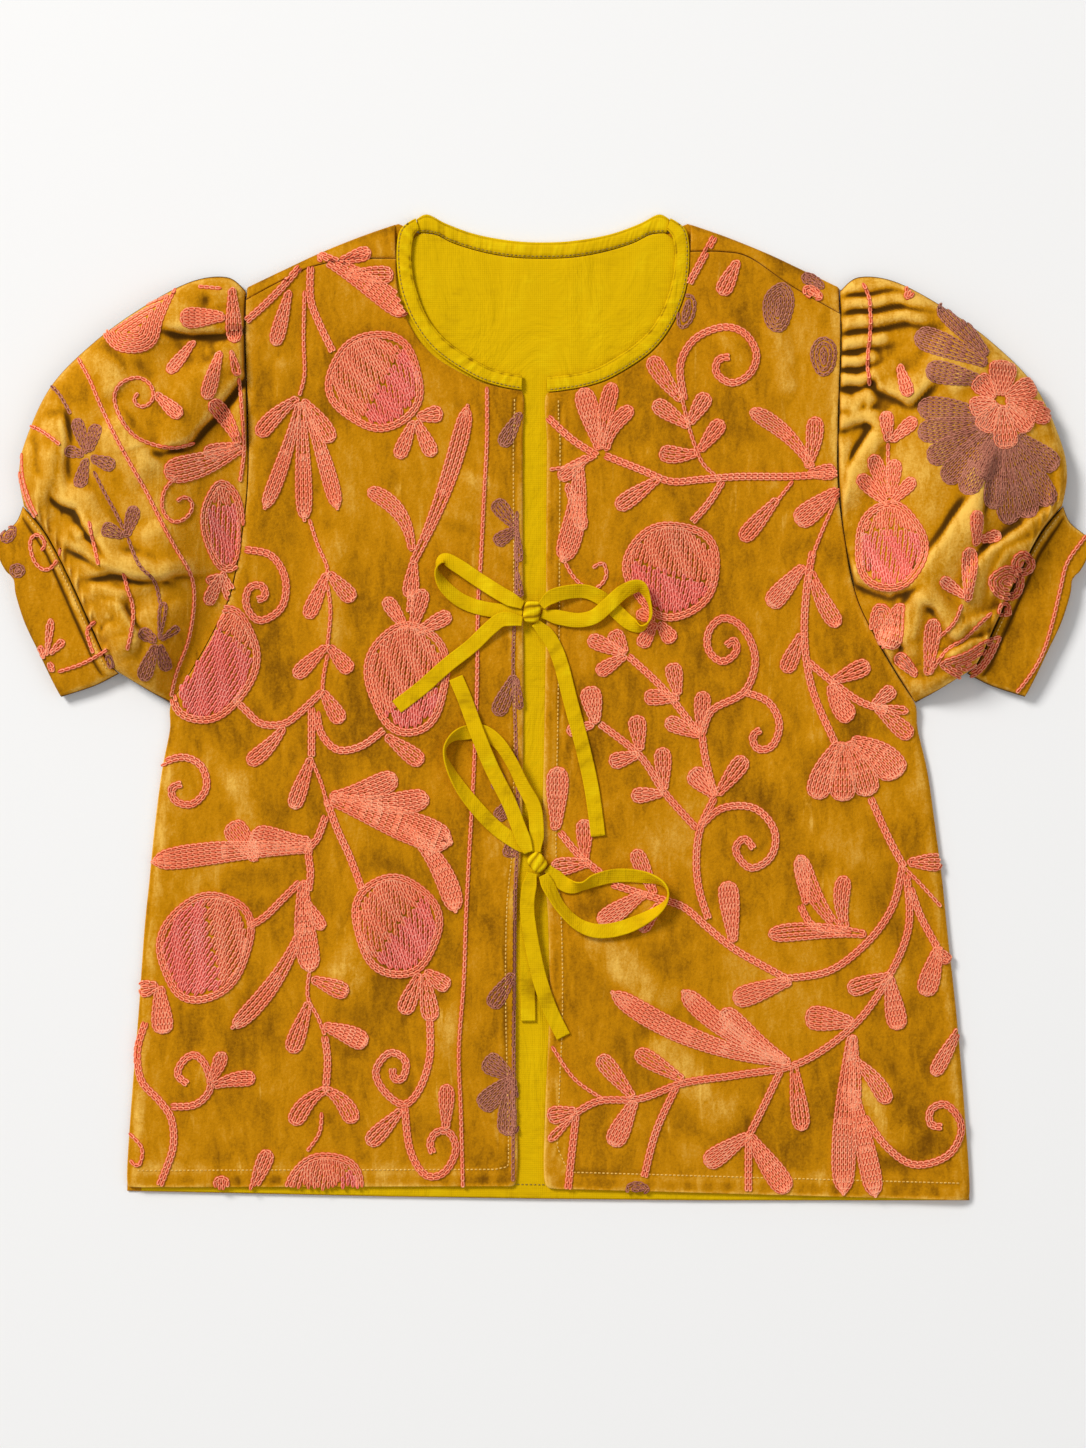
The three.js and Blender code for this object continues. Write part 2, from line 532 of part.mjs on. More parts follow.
function flatPanel(name, inset, base, thick, colour) {
  const shape = new THREE.Shape(outlinePoints(inset).map(([x, y]) => new THREE.Vector2(x, y)));
  const geometry = new THREE.ExtrudeGeometry(shape, { depth: thick, bevelEnabled: false });
  geometry.translate(0, 0, base);
  const material = new THREE.MeshStandardMaterial({ color: colour, roughness: 0.9, metalness: 0 });
  const mesh = new THREE.Mesh(geometry, material);
  mesh.name = name;
  return mesh;
}

// A neck edge of one front, from the front edge to the shoulder seam, moved away from the neck by a gap.
function neckEdge(side, rows, gap) {
  const { sign, rows: edge } = FRONTS[side];
  const start = Math.abs(edge[NECK_ROW][0]);
  const kept = rows.filter(([x], i) => i > 3 || x > start + 2);
  const curve = evenCurve([[start, side === "left" ? rows[0][1] : rows[1][1]], ...kept]);
  return (f) => {
    const [x, y] = curve(f * NECK_SEAM_SHARE);
    const [dx, dy] = [x, y - NECK_CENTRE_Y];
    const stretch = 1 + gap / Math.hypot(dx, dy);
    return [sign * dx * stretch, NECK_CENTRE_Y + dy * stretch];
  };
}

function frontPanel(side) {
  const { sign, rows, seam } = FRONTS[side];
  const seamCurve = evenCurve(seam);
  const neck = neckEdge(side, NECK_OUTER, EDGE_GAP);
  const last = rows.length - 1;
  const top = rows[last];
  const neckRow = NECK_ROW / last;
  return sheet(`front_${side}`, FRONT_COLUMNS, FRONT_ROWS, (column, b) => {
    const a = column < 1 ? (column * FRONT_COLUMNS * SIDE_COLUMN) / (FRONT_COLUMNS - 1) : 1;
    const row = spline(rows, b);
    const [innerX, innerY] = b > neckRow ? neck((b - neckRow) / (1 - neckRow)) : row;
    const outerY = row[3];
    const outerX = outerY > ARMHOLE_LOW ? armholeX(outerY) : row[2];
    const seamPoint = seamCurve(a);
    const bend = smoothstep(neckRow, 1, b);
    const [cornerX, cornerY] = neck(1);
    const x = lerp(innerX, sign * outerX, a) + bend * (sign * seamPoint[0] - lerp(cornerX, sign * top[2], a));
    const y = lerp(innerY, outerY, a) + bend * (seamPoint[1] - lerp(cornerY, top[3], a));
    const fromSide = outerX - Math.abs(x);
    const drop = SIDE_DROP * (1 - smoothstep(0, SIDE_DROP_REACH, fromSide)) * smoothstep(12, -12, y);
    const z = frontTop(x, y) - drop;
    return [x, y, z, z - FRONT_CLOTH];
  }, OCHRE);
}

// The back panel's shoulder, turned over to the front as far as the shoulder seam.
function shoulderTurn(side) {
  const { sign, seam } = FRONTS[side];
  const seamCurve = evenCurve(seam);
  const edge = evenCurve(SHOULDER_EDGE);
  return sheet(`back_shoulder_${side}`, 12, 3, (a, b) => {
    const low = seamCurve(lerp(0.002, 0.998, a));
    const high = edge(lerp(0.03, 0.995, a));
    const x = lerp(low[0], high[0], b);
    const y = lerp(low[1] + EDGE_GAP, high[1], b);
    const z = frontTop(sign * x, y) - (SIDE_DROP + 0.5) * b * b;
    const bottom = Math.max(LINING_BASE, z - FRONT_CLOTH - 1.6 * b * b);
    return [sign * x, y, z, bottom];
  }, OCHRE);
}

// A binding strip between two edge curves, with a rolled inner edge.
function bindingStrip(name, inner, outer, stations, base, top, colour) {
  const rings = [];
  for (let i = 0; i <= stations; i++) {
    const f = i / stations;
    const [a, b] = [outer(f), inner(f)];
    const across = (share) => [lerp(a[0], b[0], share), lerp(a[1], b[1], share)];
    rings.push([
      [...across(0), base], [...across(0), top - BINDING_ROLL], [...across(0.16), top], [...across(0.7), top],
      [...across(0.93), top - BINDING_ROLL], [...across(1), (base + top) / 2], [...across(0.93), base],
    ]);
  }
  return tube(name, rings, null, colour);
}

function frontBinding(side) {
  const [inner, outer] = [neckEdge(side, NECK_INNER, 0), neckEdge(side, NECK_OUTER, 0)];
  const whole = (curve) => (f) => curve(f / NECK_SEAM_SHARE);
  return bindingStrip(`neck_binding_${side}`, whole(inner), whole(outer), 22, FRONT_BASE + 0.7, BINDING_TOP, LIME);
}

function backBinding() {
  const whole = (rows) => evenCurve([...rows, ...rows.slice(0, -1).reverse().map(([x, y]) => [-x, y])]);
  return bindingStrip("neck_binding_back", whole(BACK_NECK_LOW), whole(BACK_NECK_TOP), 26, 0, BACK_BINDING_TOP, LIME);
}

// The gathers of one seam, at a place along it and a distance from it.
function gathers(rows, place, distance) {
  let rise = 0;
  for (const [at, width, height, reach, drift] of rows) {
    const off = (place - at - drift * (distance / reach)) / (width * (1 + 0.5 * distance));
    rise += height * Math.exp(-(off * off)) * smoothstep(0, 0.05, distance) * (1 - smoothstep(0.25 * reach, reach, distance));
  }
  return rise;
}

// A plan drawn for the wearer's left side, turned to the side that is asked for.
function mirrored(plan, sign) {
  return (s, t) => {
    const [x, y] = plan(s, t);
    return [sign * x, y];
  };
}

function sleeve(side) {
  const { sign } = FRONTS[side];
  const firstMoved = (rows) => rows.map(([x, y], i) => [i === 0 ? x + EDGE_GAP : x, y]);
  const armhole = ARMHOLE.map(([x, y]) => [x + EDGE_GAP, y]);
  const [cap, under] = [firstMoved(SLEEVE_CAP), firstMoved(SLEEVE_UNDER)];
  const plan = mirrored(patch(evenCurve(armhole), evenCurve(CUFF_SEAM), evenCurve(cap), evenCurve(under)), sign);
  const top = (s, t) => {
    const round = rounded(t, SLEEVE_ROUNDNESS);
    const puff = smoothstep(0, 0.42, s) * smoothstep(1.12, 0.6, s);
    const seams = lerp(SLEEVE_ARMHOLE_TOP, SLEEVE_CUFF_TOP, s);
    const height = SLEEVE_EDGE + (seams - SLEEVE_EDGE + (SLEEVE_PUFF - seams) * puff) * round;
    const [x, y] = plan(s, t);
    let rise = gathers(CUFF_GATHERS[side], t, 1 - s);
    for (const [fold, widthLeft, widthRight, ...line] of SLEEVE_FOLDS[side]) {
      const points = [];
      for (let i = 0; i < line.length; i += 2) points.push([line[i], line[i + 1]]);
      const widths = [widthLeft, widthRight].map((width) => Math.max(LEAST_FOLD_WIDTH, width));
      rise += foldHeight(fold, ...widths, points, x, y);
    }
    const inside = smoothstep(0, SEAM_SHARE, s) * smoothstep(0, SEAM_SHARE, 1 - s) * Math.min(1, round * 1.2);
    return height + FOLD_LIMIT * Math.tanh(rise / FOLD_LIMIT) * inside;
  };
  return flattenedTube(`sleeve_${side}`, {
    plan,
    top,
    stations: SLEEVE_STATIONS,
    columns: SLEEVE_COLUMNS,
    floorColumns: SLEEVE_FLOOR_COLUMNS,
    wall: SLEEVE_WALL,
    colour: OCHRE,
  });
}

function cuff(side) {
  const away = (rows) => rows.map(([x, y]) => [x + SEAM * 2, y - SEAM * 1.2]);
  const plan = patch(
    evenCurve(away(CUFF_SEAM)),
    evenCurve(CUFF_MOUTH),
    evenCurve([away(CUFF_TOP_EDGE)[0], ...CUFF_TOP_EDGE.slice(1)]),
    evenCurve([away(CUFF_LOW_EDGE)[0], ...CUFF_LOW_EDGE.slice(1)]),
  );
  return flattenedTube(`cuff_${side}`, {
    plan: mirrored(plan, FRONTS[side].sign),
    top: (s, t) => {
      const wave = CUFF_WAVE * Math.sin(9 * t + 2 * s) * (1 - s);
      const above = lerp(CUFF_TOP, CUFF_MOUTH_TOP, s) - SLEEVE_EDGE + wave;
      return SLEEVE_EDGE + above * rounded(t, CUFF_ROUNDNESS);
    },
    stations: CUFF_STATIONS,
    columns: CUFF_COLUMNS,
    floorColumns: CUFF_FLOOR_COLUMNS,
    wall: CUFF_WALL,
    colour: OCHRE,
  });
}

// One stretch of ribbon: a flat strip with rounded edges, lofted along its path.
function ribbon(name, rows) {
  const section = [
    [-0.5, 0], [-0.46, 0.5], [0, 0.5], [0.46, 0.5], [0.5, 0], [0.46, -0.5], [0, -0.5], [-0.46, -0.5],
  ];
  const steps = Math.max(8, Math.round(rows.length * 1.7));
  const centre = (f) => {
    const [x, y, lift] = spline(rows, f);
    return new THREE.Vector3(x, y, frontTop(x, y) + lift);
  };
  const rings = [];
  for (let i = 0; i <= steps; i++) {
    const f = i / steps;
    const at = centre(f);
    const along = centre(Math.min(1, f + 0.01)).sub(centre(Math.max(0, f - 0.01))).normalize();
    const across = new THREE.Vector3(0, 0, 1).cross(along).normalize();
    across.applyAxisAngle(along, THREE.MathUtils.degToRad(spline(rows, f)[3]));
    const up = along.clone().cross(across);
    const fromKnot = Math.min(...Object.values(TIE_KNOTS).map((k) => Math.hypot(at.x - k.x, at.y - k.y)));
    const gathered = 1 - smoothstep(TIE_GATHER_REACH * 0.6, TIE_GATHER_REACH * 1.5, fromKnot);
    const width = TIE_WIDTH * lerp(1, TIE_GATHER, gathered);
    const ring = section.map(([u, v]) =>
      at.clone().addScaledVector(across, u * width).addScaledVector(up, v * TIE_THICK),
    );
    const lift = Math.max(0, ...ring.map((p) => restingTop(p.x, p.y) + TIE_CLEARANCE - p.z));
    rings.push(ring.map((p) => [p.x, p.y, p.z + lift]));
  }
  return tube(name, rings, null, LIME);
}

function knot(name, { x, y, lift, long, wide, turn }) {
  const shape = new THREE.SphereGeometry(1, 14, 8);
  shape.scale(long / 2, wide / 2, KNOT_HALF_THICK);
  shape.rotateZ(THREE.MathUtils.degToRad(turn));
  shape.translate(x, y, frontTop(x, y) + lift);
  const mesh = new THREE.Mesh(shape, new THREE.MeshStandardMaterial({ color: LIME, roughness: 0.9, metalness: 0 }));
  mesh.name = name;
  return mesh;
}

const garment = new THREE.Group();
garment.add(flatPanel("back", 0, 0, VELVET, OCHRE));
garment.add(flatPanel("back_lining", LINING_INSET, LINING_BASE, LINING, LIME));
garment.add(backBinding());
for (const side of ["left", "right"]) {
  garment.add(frontPanel(side), shoulderTurn(side), frontBinding(side), sleeve(side), cuff(side));
}
for (const [name, facts] of Object.entries(TIE_KNOTS)) garment.add(knot(name, facts));
for (const [name, rows] of Object.entries(TIES)) garment.add(ribbon(name, rows));

export default garment;
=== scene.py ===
# %% [markdown]
# # A velvet top with two bows, laid flat
# The object is a short jacket top of ochre velvet with a lime cotton lining. It lies on its back, seen from
# straight above. A rigid model of it is packed already and gives the frame. This file dresses that frame:
# each panel becomes a thin cloth shell, and the sewing and the embroidery are laid on the shells.

import math

import bpy
import numpy as np
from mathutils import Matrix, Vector
from mathutils.bvhtree import BVHTree


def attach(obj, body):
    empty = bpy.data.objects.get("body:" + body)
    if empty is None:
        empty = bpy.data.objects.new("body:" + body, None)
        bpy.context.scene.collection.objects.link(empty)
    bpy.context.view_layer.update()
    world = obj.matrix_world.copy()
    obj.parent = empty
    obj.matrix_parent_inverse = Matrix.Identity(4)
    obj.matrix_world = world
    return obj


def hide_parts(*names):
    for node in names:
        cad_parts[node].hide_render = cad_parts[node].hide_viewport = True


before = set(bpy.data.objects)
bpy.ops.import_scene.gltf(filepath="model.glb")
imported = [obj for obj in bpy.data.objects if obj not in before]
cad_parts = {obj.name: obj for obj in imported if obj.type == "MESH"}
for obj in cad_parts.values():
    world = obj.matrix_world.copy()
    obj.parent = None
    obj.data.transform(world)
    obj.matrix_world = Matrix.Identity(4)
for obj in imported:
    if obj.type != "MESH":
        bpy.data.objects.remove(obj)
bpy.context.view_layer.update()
print("nodes in the frame:", len(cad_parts))

# %% [markdown]
# ## Units and the photograph's grid
# Lengths are in millimetres until a mesh is made, which keeps the tables readable. A place in the
# photograph is given by its pixel u, v, and one pixel is 0.625 mm of cloth.

# %% Units
MM = 0.001
PIXEL = 0.625
MIDDLE_U, MIDDLE_V = 543, 707.5
PHOTO_WIDE, PHOTO_HIGH = 1086, 1448


def from_photo(points):
    """Rows that start with u, v, as rows that start with x, y in millimetres."""
    rows = np.array(points, float)
    rows[..., 0] = (rows[..., 0] - MIDDLE_U) * PIXEL
    rows[..., 1] = (MIDDLE_V - rows[..., 1]) * PIXEL
    return rows


print("garment width in the photograph:", PHOTO_WIDE * PIXEL, "mm")

# %% [markdown]
# ## Curves and soft steps
# A pattern cutter draws with a few points and a flexible curve. The same idea works here: a short table of
# points, and one smooth curve through them. Everything takes arrays, so a whole grid of cloth is worked out
# at once.

# %% Curve helpers
CURVE_STEPS, WAVES, OUTLINE_STEP = 240, 5, 1.0


def lerp(a, b, f):
    return a + (b - a) * f


def smoothstep(low, high, x):
    f = np.clip((np.asarray(x, float) - low) / (high - low), 0, 1)
    return f * f * (3 - 2 * f)


def bell(distance, width, power=2):
    """1 where the distance is 0, falling softly to 0. A higher power gives a fuller top."""
    return np.exp(-((distance / width) ** power))


def unit(vectors):
    return vectors / np.linalg.norm(vectors, axis=-1, keepdims=True)


def left_of(line):
    """The direction to the left of a line of x, y, at each of its points."""
    tangent = unit(np.gradient(line, axis=0))
    return np.stack([-tangent[:, 1], tangent[:, 0]], -1)


def length_along(points):
    """How far each point of a line is from the first, along the line."""
    return np.concatenate([[0], np.cumsum(np.linalg.norm(np.diff(points, axis=0), axis=1))])


def at_length(points, where):
    """The x, y at each of these distances along a line."""
    length = length_along(points)
    return np.stack([np.interp(where, length, points[:, k]) for k in (0, 1)], -1)


def spline(rows, f):
    """A smooth curve through rows of numbers; f runs from 0 at the first row to 1 at the last."""
    rows = np.asarray(rows, float)
    last = len(rows) - 1
    place = np.clip(np.asarray(f, float) * last, 0, last)
    i = np.minimum(last - 1, place.astype(int))
    u = (place - i)[..., None]
    a, b = rows[i], rows[i + 1]
    pull = (b - rows[np.maximum(0, i - 1)]) / 2
    push = (rows[np.minimum(last, i + 2)] - a) / 2
    return (2 * a - 2 * b + pull + push) * u**3 + (3 * b - 3 * a - 2 * pull - push) * u**2 + pull * u + a


def even_curve(rows):
    """The same curve by its length: equal steps of f are equal distances in x and y."""
    points = spline(rows, np.linspace(0, 1, CURVE_STEPS + 1))
    length = length_along(points[:, :2])
    return lambda f: np.stack([np.interp(f, length / length[-1], column) for column in points.T], -1)


def distance_to(line, x, y):
    """From each x, y to a line of points: how far, on which side, and where along it."""
    best, side, share = np.full(x.shape, np.inf), np.ones(x.shape), np.zeros(x.shape)
    spans = len(line) - 1
    for i in range(spans):
        (ax, ay), (bx, by) = line[i], line[i + 1]
        dx, dy = bx - ax, by - ay
        f = np.clip(((x - ax) * dx + (y - ay) * dy) / (dx * dx + dy * dy), 0, 1)
        away = np.hypot(x - ax - f * dx, y - ay - f * dy)
        near = away < best
        best = np.where(near, away, best)
        side = np.where(near, np.sign(dx * (y - ay) - dy * (x - ax)), side)
        share = np.where(near, (i + f) / spans, share)
    return best, side, share


def fold_height(height, width_a, width_b, line, x, y, power=2):
    """What a soft fold adds at x, y, with a width of its own on each side. It is lowest at its ends."""
    best, side, share = distance_to(line, x, y)
    width = np.where(side > 0, width_a, width_b) * power / 2
    fade = smoothstep(0, 0.25, share) * smoothstep(1, 0.75, share)
    return height * bell(best, width, power) * lerp(0.15, 1, fade)


def wobble(x, y, scale, seed):
    """A smooth uneven wave from -1 to 1, the same on each run."""
    random = np.random.default_rng(seed)
    total = np.zeros(np.shape(x))
    for _ in range(WAVES):
        turn, phase = random.uniform(0, 2 * np.pi, 2)
        size = scale * random.uniform(0.6, 1.7)
        total = total + np.sin((x * np.cos(turn) + y * np.sin(turn)) * 2 * np.pi / size + phase)
    return total / WAVES


print("half way along a bent line:", even_curve([[0, 0], [6, 0], [6, 2]])(0.5).round(2))

# %% [markdown]
# ## The cut of the top
# These are the edges of the panels as they lie. The sleeve side is drawn once, for the wearer's left, and
# mirrored. Each front is lofted between its inner edge, which is the front opening and then the neck, and
# its outer edge, which is the side seam and then the armhole.

# %% Panel edges
VELVET = 1.6
LINING = 1.0
SEAM = 0.3
EDGE_GAP = 0.5
LINING_BASE = VELVET + SEAM
FRONT_BASE = LINING_BASE + LINING + 0.4
FRONT_CLOTH = 2.0
FRONT_TOP = FRONT_BASE + FRONT_CLOTH
SIDE_DROP, SIDE_DROP_REACH = 1.4, 6
ARMHOLE_RISE, ARMHOLE_RISE_REACH = 2.7, 42
MOST_FOLD = 3.4

ARMHOLE = [
    [185, 260], [185.5, 226], [184, 180], [184, 140], [188, 105],
    [195, 70], [207, 44], [219, 23], [232, 3],
]
SLEEVE_CAP = [
    [185, 260], [197, 268.5], [219, 266], [248, 251], [279.5, 228.5],
    [307, 200.5], [323, 166.5], [327, 145], [324, 126],
]
SLEEVE_UNDER = [[232, 3], [247, 11], [264, 21.5]]
CUFF_SEAM = [[324, 126], [309, 108], [294.5, 80.5], [281.5, 52], [271, 29], [264, 21.5]]
CUFF_MOUTH = [
    [339.4, 107], [339.4, 95], [335, 85.5], [330, 80], [328.4, 70],
    [323, 53], [315, 36], [306.5, 18], [300.6, 6.6],
]
CUFF_TOP_EDGE = [[324, 126], [329, 115.5], [339.4, 107]]
CUFF_LOW_EDGE = [[264, 21.5], [279.5, 13.5], [300.6, 6.6]]
SHOULDER_EDGE = [[89.5, 302.5], [114, 294], [140, 283.5], [161, 273.5], [184.6, 262]]
NECK_OUTER = [
    [2.7, 196.8], [13, 198], [28, 200.8], [44, 206.8], [66.4, 221.5],
    [80, 238.5], [88.5, 259], [91.3, 279], [90, 296], [84, 304],
]
NECK_INNER = [
    [2.7, 206.4], [13, 207.3], [27, 209.8], [40.5, 215.6], [60, 229],
    [72, 243.5], [79.3, 262], [82, 279], [80.8, 293], [77.5, 298.5],
]
BACK_NECK_TOP = [[-79, 305], [-72, 307.9], [-60, 302], [-42, 295.6], [-20, 291.6], [0, 290.5]]
BACK_NECK_LOW = [[-77.5, 296.5], [-67, 295.5], [-55.8, 290], [-37, 284.4], [-18, 281.2], [0, 280.5]]
BACK_HEM = [[-262, -302], [-190, -303.5], [-100, -305.5], [0, -307], [100, -308], [200, -308], [265, -307.9]]
NECK_ROW, NECK_SEAM_SHARE, NECK_CENTRE_Y, ARMHOLE_LOW = 15, 0.87, 300, 3.5

FRONT_ROWS = {
    "left": [
        [7, -300.3, 264, -307.6], [0.9, -294, 266.4, -299], [1.5, -250, 263, -248],
        [4, -190, 258.5, -195], [3.2, -130, 252.5, -140], [0.2, -100, 249.5, -110],
        [0, -60, 245, -75], [0.8, -25, 240, -40], [1.2, 0, 234, -14], [1.6, 22, 231.9, 3],
        [2, 60, 219, 23], [2.1, 90, 207, 44], [2.2, 112, 200.6, 57], [2.4, 134, 195, 70],
        [2.6, 165, 191, 87], [2.7, 196.5, 188, 105],
        [23, 199.2, 185, 130], [44, 206.4, 184, 155], [66.6, 221.1, 184.2, 185],
        [80.4, 238.3, 185, 212], [88.9, 258.9, 185.5, 232], [91.8, 284.4, 185, 245.3],
    ],
    "right": [
        [-22, -298.8, 257, -299.5], [-16.2, -292, 259.8, -292], [-16.5, -240, 256.5, -240],
        [-17.8, -180, 252.5, -190], [-17, -125, 249, -140], [-13.6, -90, 246, -110],
        [-12.8, -55, 242.5, -75], [-12.4, -20, 238, -40], [-12.3, 5, 233, -14], [-12.3, 25, 231.9, 3],
        [-12.5, 60, 219, 23], [-12.6, 90, 207, 44], [-12.7, 112, 200.6, 57], [-12.8, 134, 195, 70],
        [-12.9, 165, 191, 87], [-13.1, 197.5, 188, 105],
        [-28, 200.3, 185, 130], [-46, 207.4, 184, 155], [-66.6, 221.1, 184.2, 185],
        [-80.4, 238.3, 185, 212], [-88.9, 258.9, 185.5, 232], [-91.8, 280, 185, 254],
    ],
}
SHOULDER_SEAM = {
    "left": [[91.8, 284.4], [112, 284.2], [129, 280.5], [155, 262.8], [185, 245.3]],
    "right": [[91.8, 280], [120, 279.5], [145, 274.5], [166, 264.5], [185, 254]],
}
SIGN = {"left": 1, "right": -1}

armhole_line = even_curve(ARMHOLE)(np.linspace(0, 1, 161))


def armhole_x(y):
    return np.interp(y, armhole_line[::-1, 1], armhole_line[::-1, 0])


def neck_edge(side, rows, gap):
    """A neck edge of one front, from front edge to shoulder seam, moved away from the neck by a gap."""
    start = abs(FRONT_ROWS[side][NECK_ROW][0])
    first = rows[0] if side == "left" else rows[1]
    kept = [row for i, row in enumerate(rows) if i > 3 or row[0] > start + 2]
    curve = even_curve([[start, first[1]]] + kept)

    def place(f):
        found = curve(np.asarray(f, float) * NECK_SEAM_SHARE)
        away = found - [0, NECK_CENTRE_Y]
        moved = away * (1 + gap / np.linalg.norm(away, axis=-1, keepdims=True))
        return moved * [SIGN[side], 1] + [0, NECK_CENTRE_Y]

    return place


print("chest laid flat:", round(2 * armhole_line[-1, 0]), "mm")

# %% [markdown]
# ## Shader helper
# A shader is a small program drawn as nodes. Here it is written as sums instead: `Wire` is one output of a
# node, and adding or multiplying wires makes Math nodes. Other nodes go through `node`, with settings
# first.

# %% Wires


class Wire:
    """One output socket of a shader node."""

    def __init__(self, tree, socket=None):
        self.tree, self.socket = tree, socket

    def node(self, kind, settings=None, inputs=None, output=0):
        made = self.tree.nodes.new(kind)
        for name, value in (settings or {}).items():
            setattr(made, name, value)
        for key, value in (inputs or {}).items():
            if isinstance(value, Wire):
                self.tree.links.new(value.socket, made.inputs[key])
            else:
                made.inputs[key].default_value = value
        return Wire(self.tree, made.outputs[output])

    def math(self, operation, other):
        return self.node("ShaderNodeMath", {"operation": operation}, {0: self, 1: other})

    def __add__(self, other):
        return self.math("ADD", other)

    def __sub__(self, other):
        return self.math("SUBTRACT", other)

    def __mul__(self, other):
        return self.math("MULTIPLY", other)

    def ramp(self, low, high):
        """0 below low, 1 above high, smooth between."""
        inputs = {"Value": self, "From Min": low, "From Max": high}
        return self.node("ShaderNodeMapRange", {"interpolation_type": "SMOOTHSTEP"}, inputs)

    def blend(self, first, second):
        """The first colour where this wire is 0 and the second where it is 1."""
        return self.node("ShaderNodeMix", {"data_type": "RGBA"}, {0: self, 6: first, 7: second}, 2)

    def noise(self, place, scale, detail=3.0, roughness=0.5, distortion=0.0):
        inputs = {"Vector": place, "Scale": scale, "Detail": detail, "Roughness": roughness}
        return self.node("ShaderNodeTexNoise", {}, {**inputs, "Distortion": distortion})

    def weave(self, axis):
        """The threads of one direction in plain cloth."""
        inputs = {"Vector": self.place(), "Scale": 260.0}
        return self.node("ShaderNodeTexWave", {"bands_direction": axis}, inputs, 1)

    def place(self, stretch=(1, 1, 1), turn=0.0):
        """The object's own coordinates, in metres, stretched and turned about Z."""
        raw = self.node("ShaderNodeTexCoord", {}, {}, "Object")
        return self.node("ShaderNodeMapping", {}, {"Vector": raw, "Scale": stretch, "Rotation": (0, 0, turn)})

    def value_of(self, attribute):
        return self.node("ShaderNodeAttribute", {"attribute_name": attribute}, {}, "Fac")

    def bump(self, height, distance, strength):
        return self.node("ShaderNodeBump", {}, {"Height": height, "Distance": distance, "Strength": strength})


def linear(r, g, b):
    """A screen colour from 0 to 255, as the linear colour that a socket takes."""
    scaled = [c / 255 for c in (r, g, b)]
    return [c / 12.92 if c <= 0.04045 else ((c + 0.055) / 1.055) ** 2.4 for c in scaled] + [1.0]


def new_material(name, sockets):
    """A material, a wire to start its nodes from, and a function that feeds a wire to its Principled node."""
    material = bpy.data.materials.new(name)
    material.use_nodes = True
    principled = material.node_tree.nodes["Principled BSDF"]
    for key, value in sockets.items():
        principled.inputs[key].default_value = value
    feed = lambda key, wire: material.node_tree.links.new(wire.socket, principled.inputs[key])
    return material, Wire(material.node_tree), feed


print("middle grey, linear:", round(linear(128, 128, 128)[0], 3))

# %% [markdown]
# ## Velvet
# Velvet is a cloth of short upright threads. It looks dark where one looks into the pile and pale where the
# pile leans or catches the light, so worn cotton velvet is mottled. Sheen gives the soft glow on slopes. The
# mottling is a sum of noises, from clouds to single threads, with thin pale scratches. The `tone` attribute
# of each mesh paints light and shade: above 0, on ridges, it paints a pale highlight, and below 0, in
# valleys, it paints shade, with a painted dark shadow in the deepest creases.

# %% Velvet material
velvet, w, feed = new_material(
    "ochre_velvet",
    {"Roughness": 0.9, "Sheen Weight": 0.14, "Sheen Roughness": 0.6, "Sheen Tint": linear(255, 214, 130),
     "Specular IOR Level": 0.04},
)
tone = w.value_of("tone")
cloud = w.noise(w.place((1, 0.6, 1), turn=0.5), scale=17, detail=6, roughness=0.62, distortion=0.4)
streak = w.noise(w.place((1, 0.35, 1), turn=0.6), scale=150, detail=4, roughness=0.65, distortion=0.6)
grain = w.noise(w.place(), scale=620, detail=3, roughness=0.75)
scratch = w.noise(w.place((1, 0.13, 1), turn=0.5), scale=190, detail=2, distortion=0.6).ramp(0.62, 0.8)
# Painted light and shade: tone lifts the mottling towards the pale colour on ridges, a painted highlight, and
# lowers it in valleys, painted shade.
shade = cloud * 0.78 + streak * 0.42 + grain * 0.3 + tone * (grain * 0.2 + streak * 0.3 + 0.1) - 0.25
dark_part = shade.ramp(0.24, 0.6).blend(linear(112, 68, 0), linear(194, 130, 2))
nap_with_painted_light = (shade + scratch * 0.14).ramp(0.54, 0.93).blend(dark_part, linear(236, 186, 84))
# Painted shadow: where tone is far below 0, in the deepest valleys, the colour goes to a dark brown.
crease = (tone * -1).ramp(0.25, 1.1)
feed("Base Color", crease.blend(nap_with_painted_light, linear(66, 38, 0)))
feed("Normal", w.bump(grain * 0.7 + streak * 0.5, distance=0.0008, strength=0.7))
print("velvet nodes:", len(velvet.node_tree.nodes))

# %% [markdown]
# ## Lime cotton, yarn and thread
# The lining, the binding and the ties are one plain-woven cotton. A woven cloth of this size shows no
# threads from here, only a faint grain and small creases, so a fine bump and close colours are enough. Its
# `tone` paints shade in creases and grooves and a pale highlight on raised parts. Yarn gets painted shade,
# deep red, in the gaps of a stitch and a painted highlight on its strands; `tone` says which is which.
# Thread only changes a little along its twist.

# %% Lime cotton, yarn and thread materials
lime, w, feed = new_material("lime_cotton", {"Roughness": 0.85, "Specular IOR Level": 0.06})
tone = w.value_of("tone")
weave_x, weave_y = w.weave("X"), w.weave("Y")
soft = w.noise(w.place((1, 0.7, 1), turn=0.4), scale=18, detail=3, roughness=0.55, distortion=0.5)
slub = w.noise(w.place((0.25, 1, 1)), scale=420, detail=2)
# Painted light and shade: tone makes raised wrinkles and ribbon tops paler, and creases and the binding's
# grooves darker.
shade = soft * 0.6 + slub * 0.3 + tone * 0.5 + 0.05
dim = shade.ramp(0.0, 0.5).blend(linear(132, 92, 0), linear(214, 172, 0))
feed("Base Color", shade.ramp(0.5, 1.0).blend(dim, linear(238, 206, 12)))
wrinkle = w.noise(w.place((1, 0.55, 1), turn=0.6), scale=26, detail=4, roughness=0.6, distortion=1.4)
relief = weave_x * 0.3 + weave_y * 0.3 + slub * 0.6 + wrinkle * 16
feed("Normal", w.bump(relief, distance=0.0003, strength=0.6))


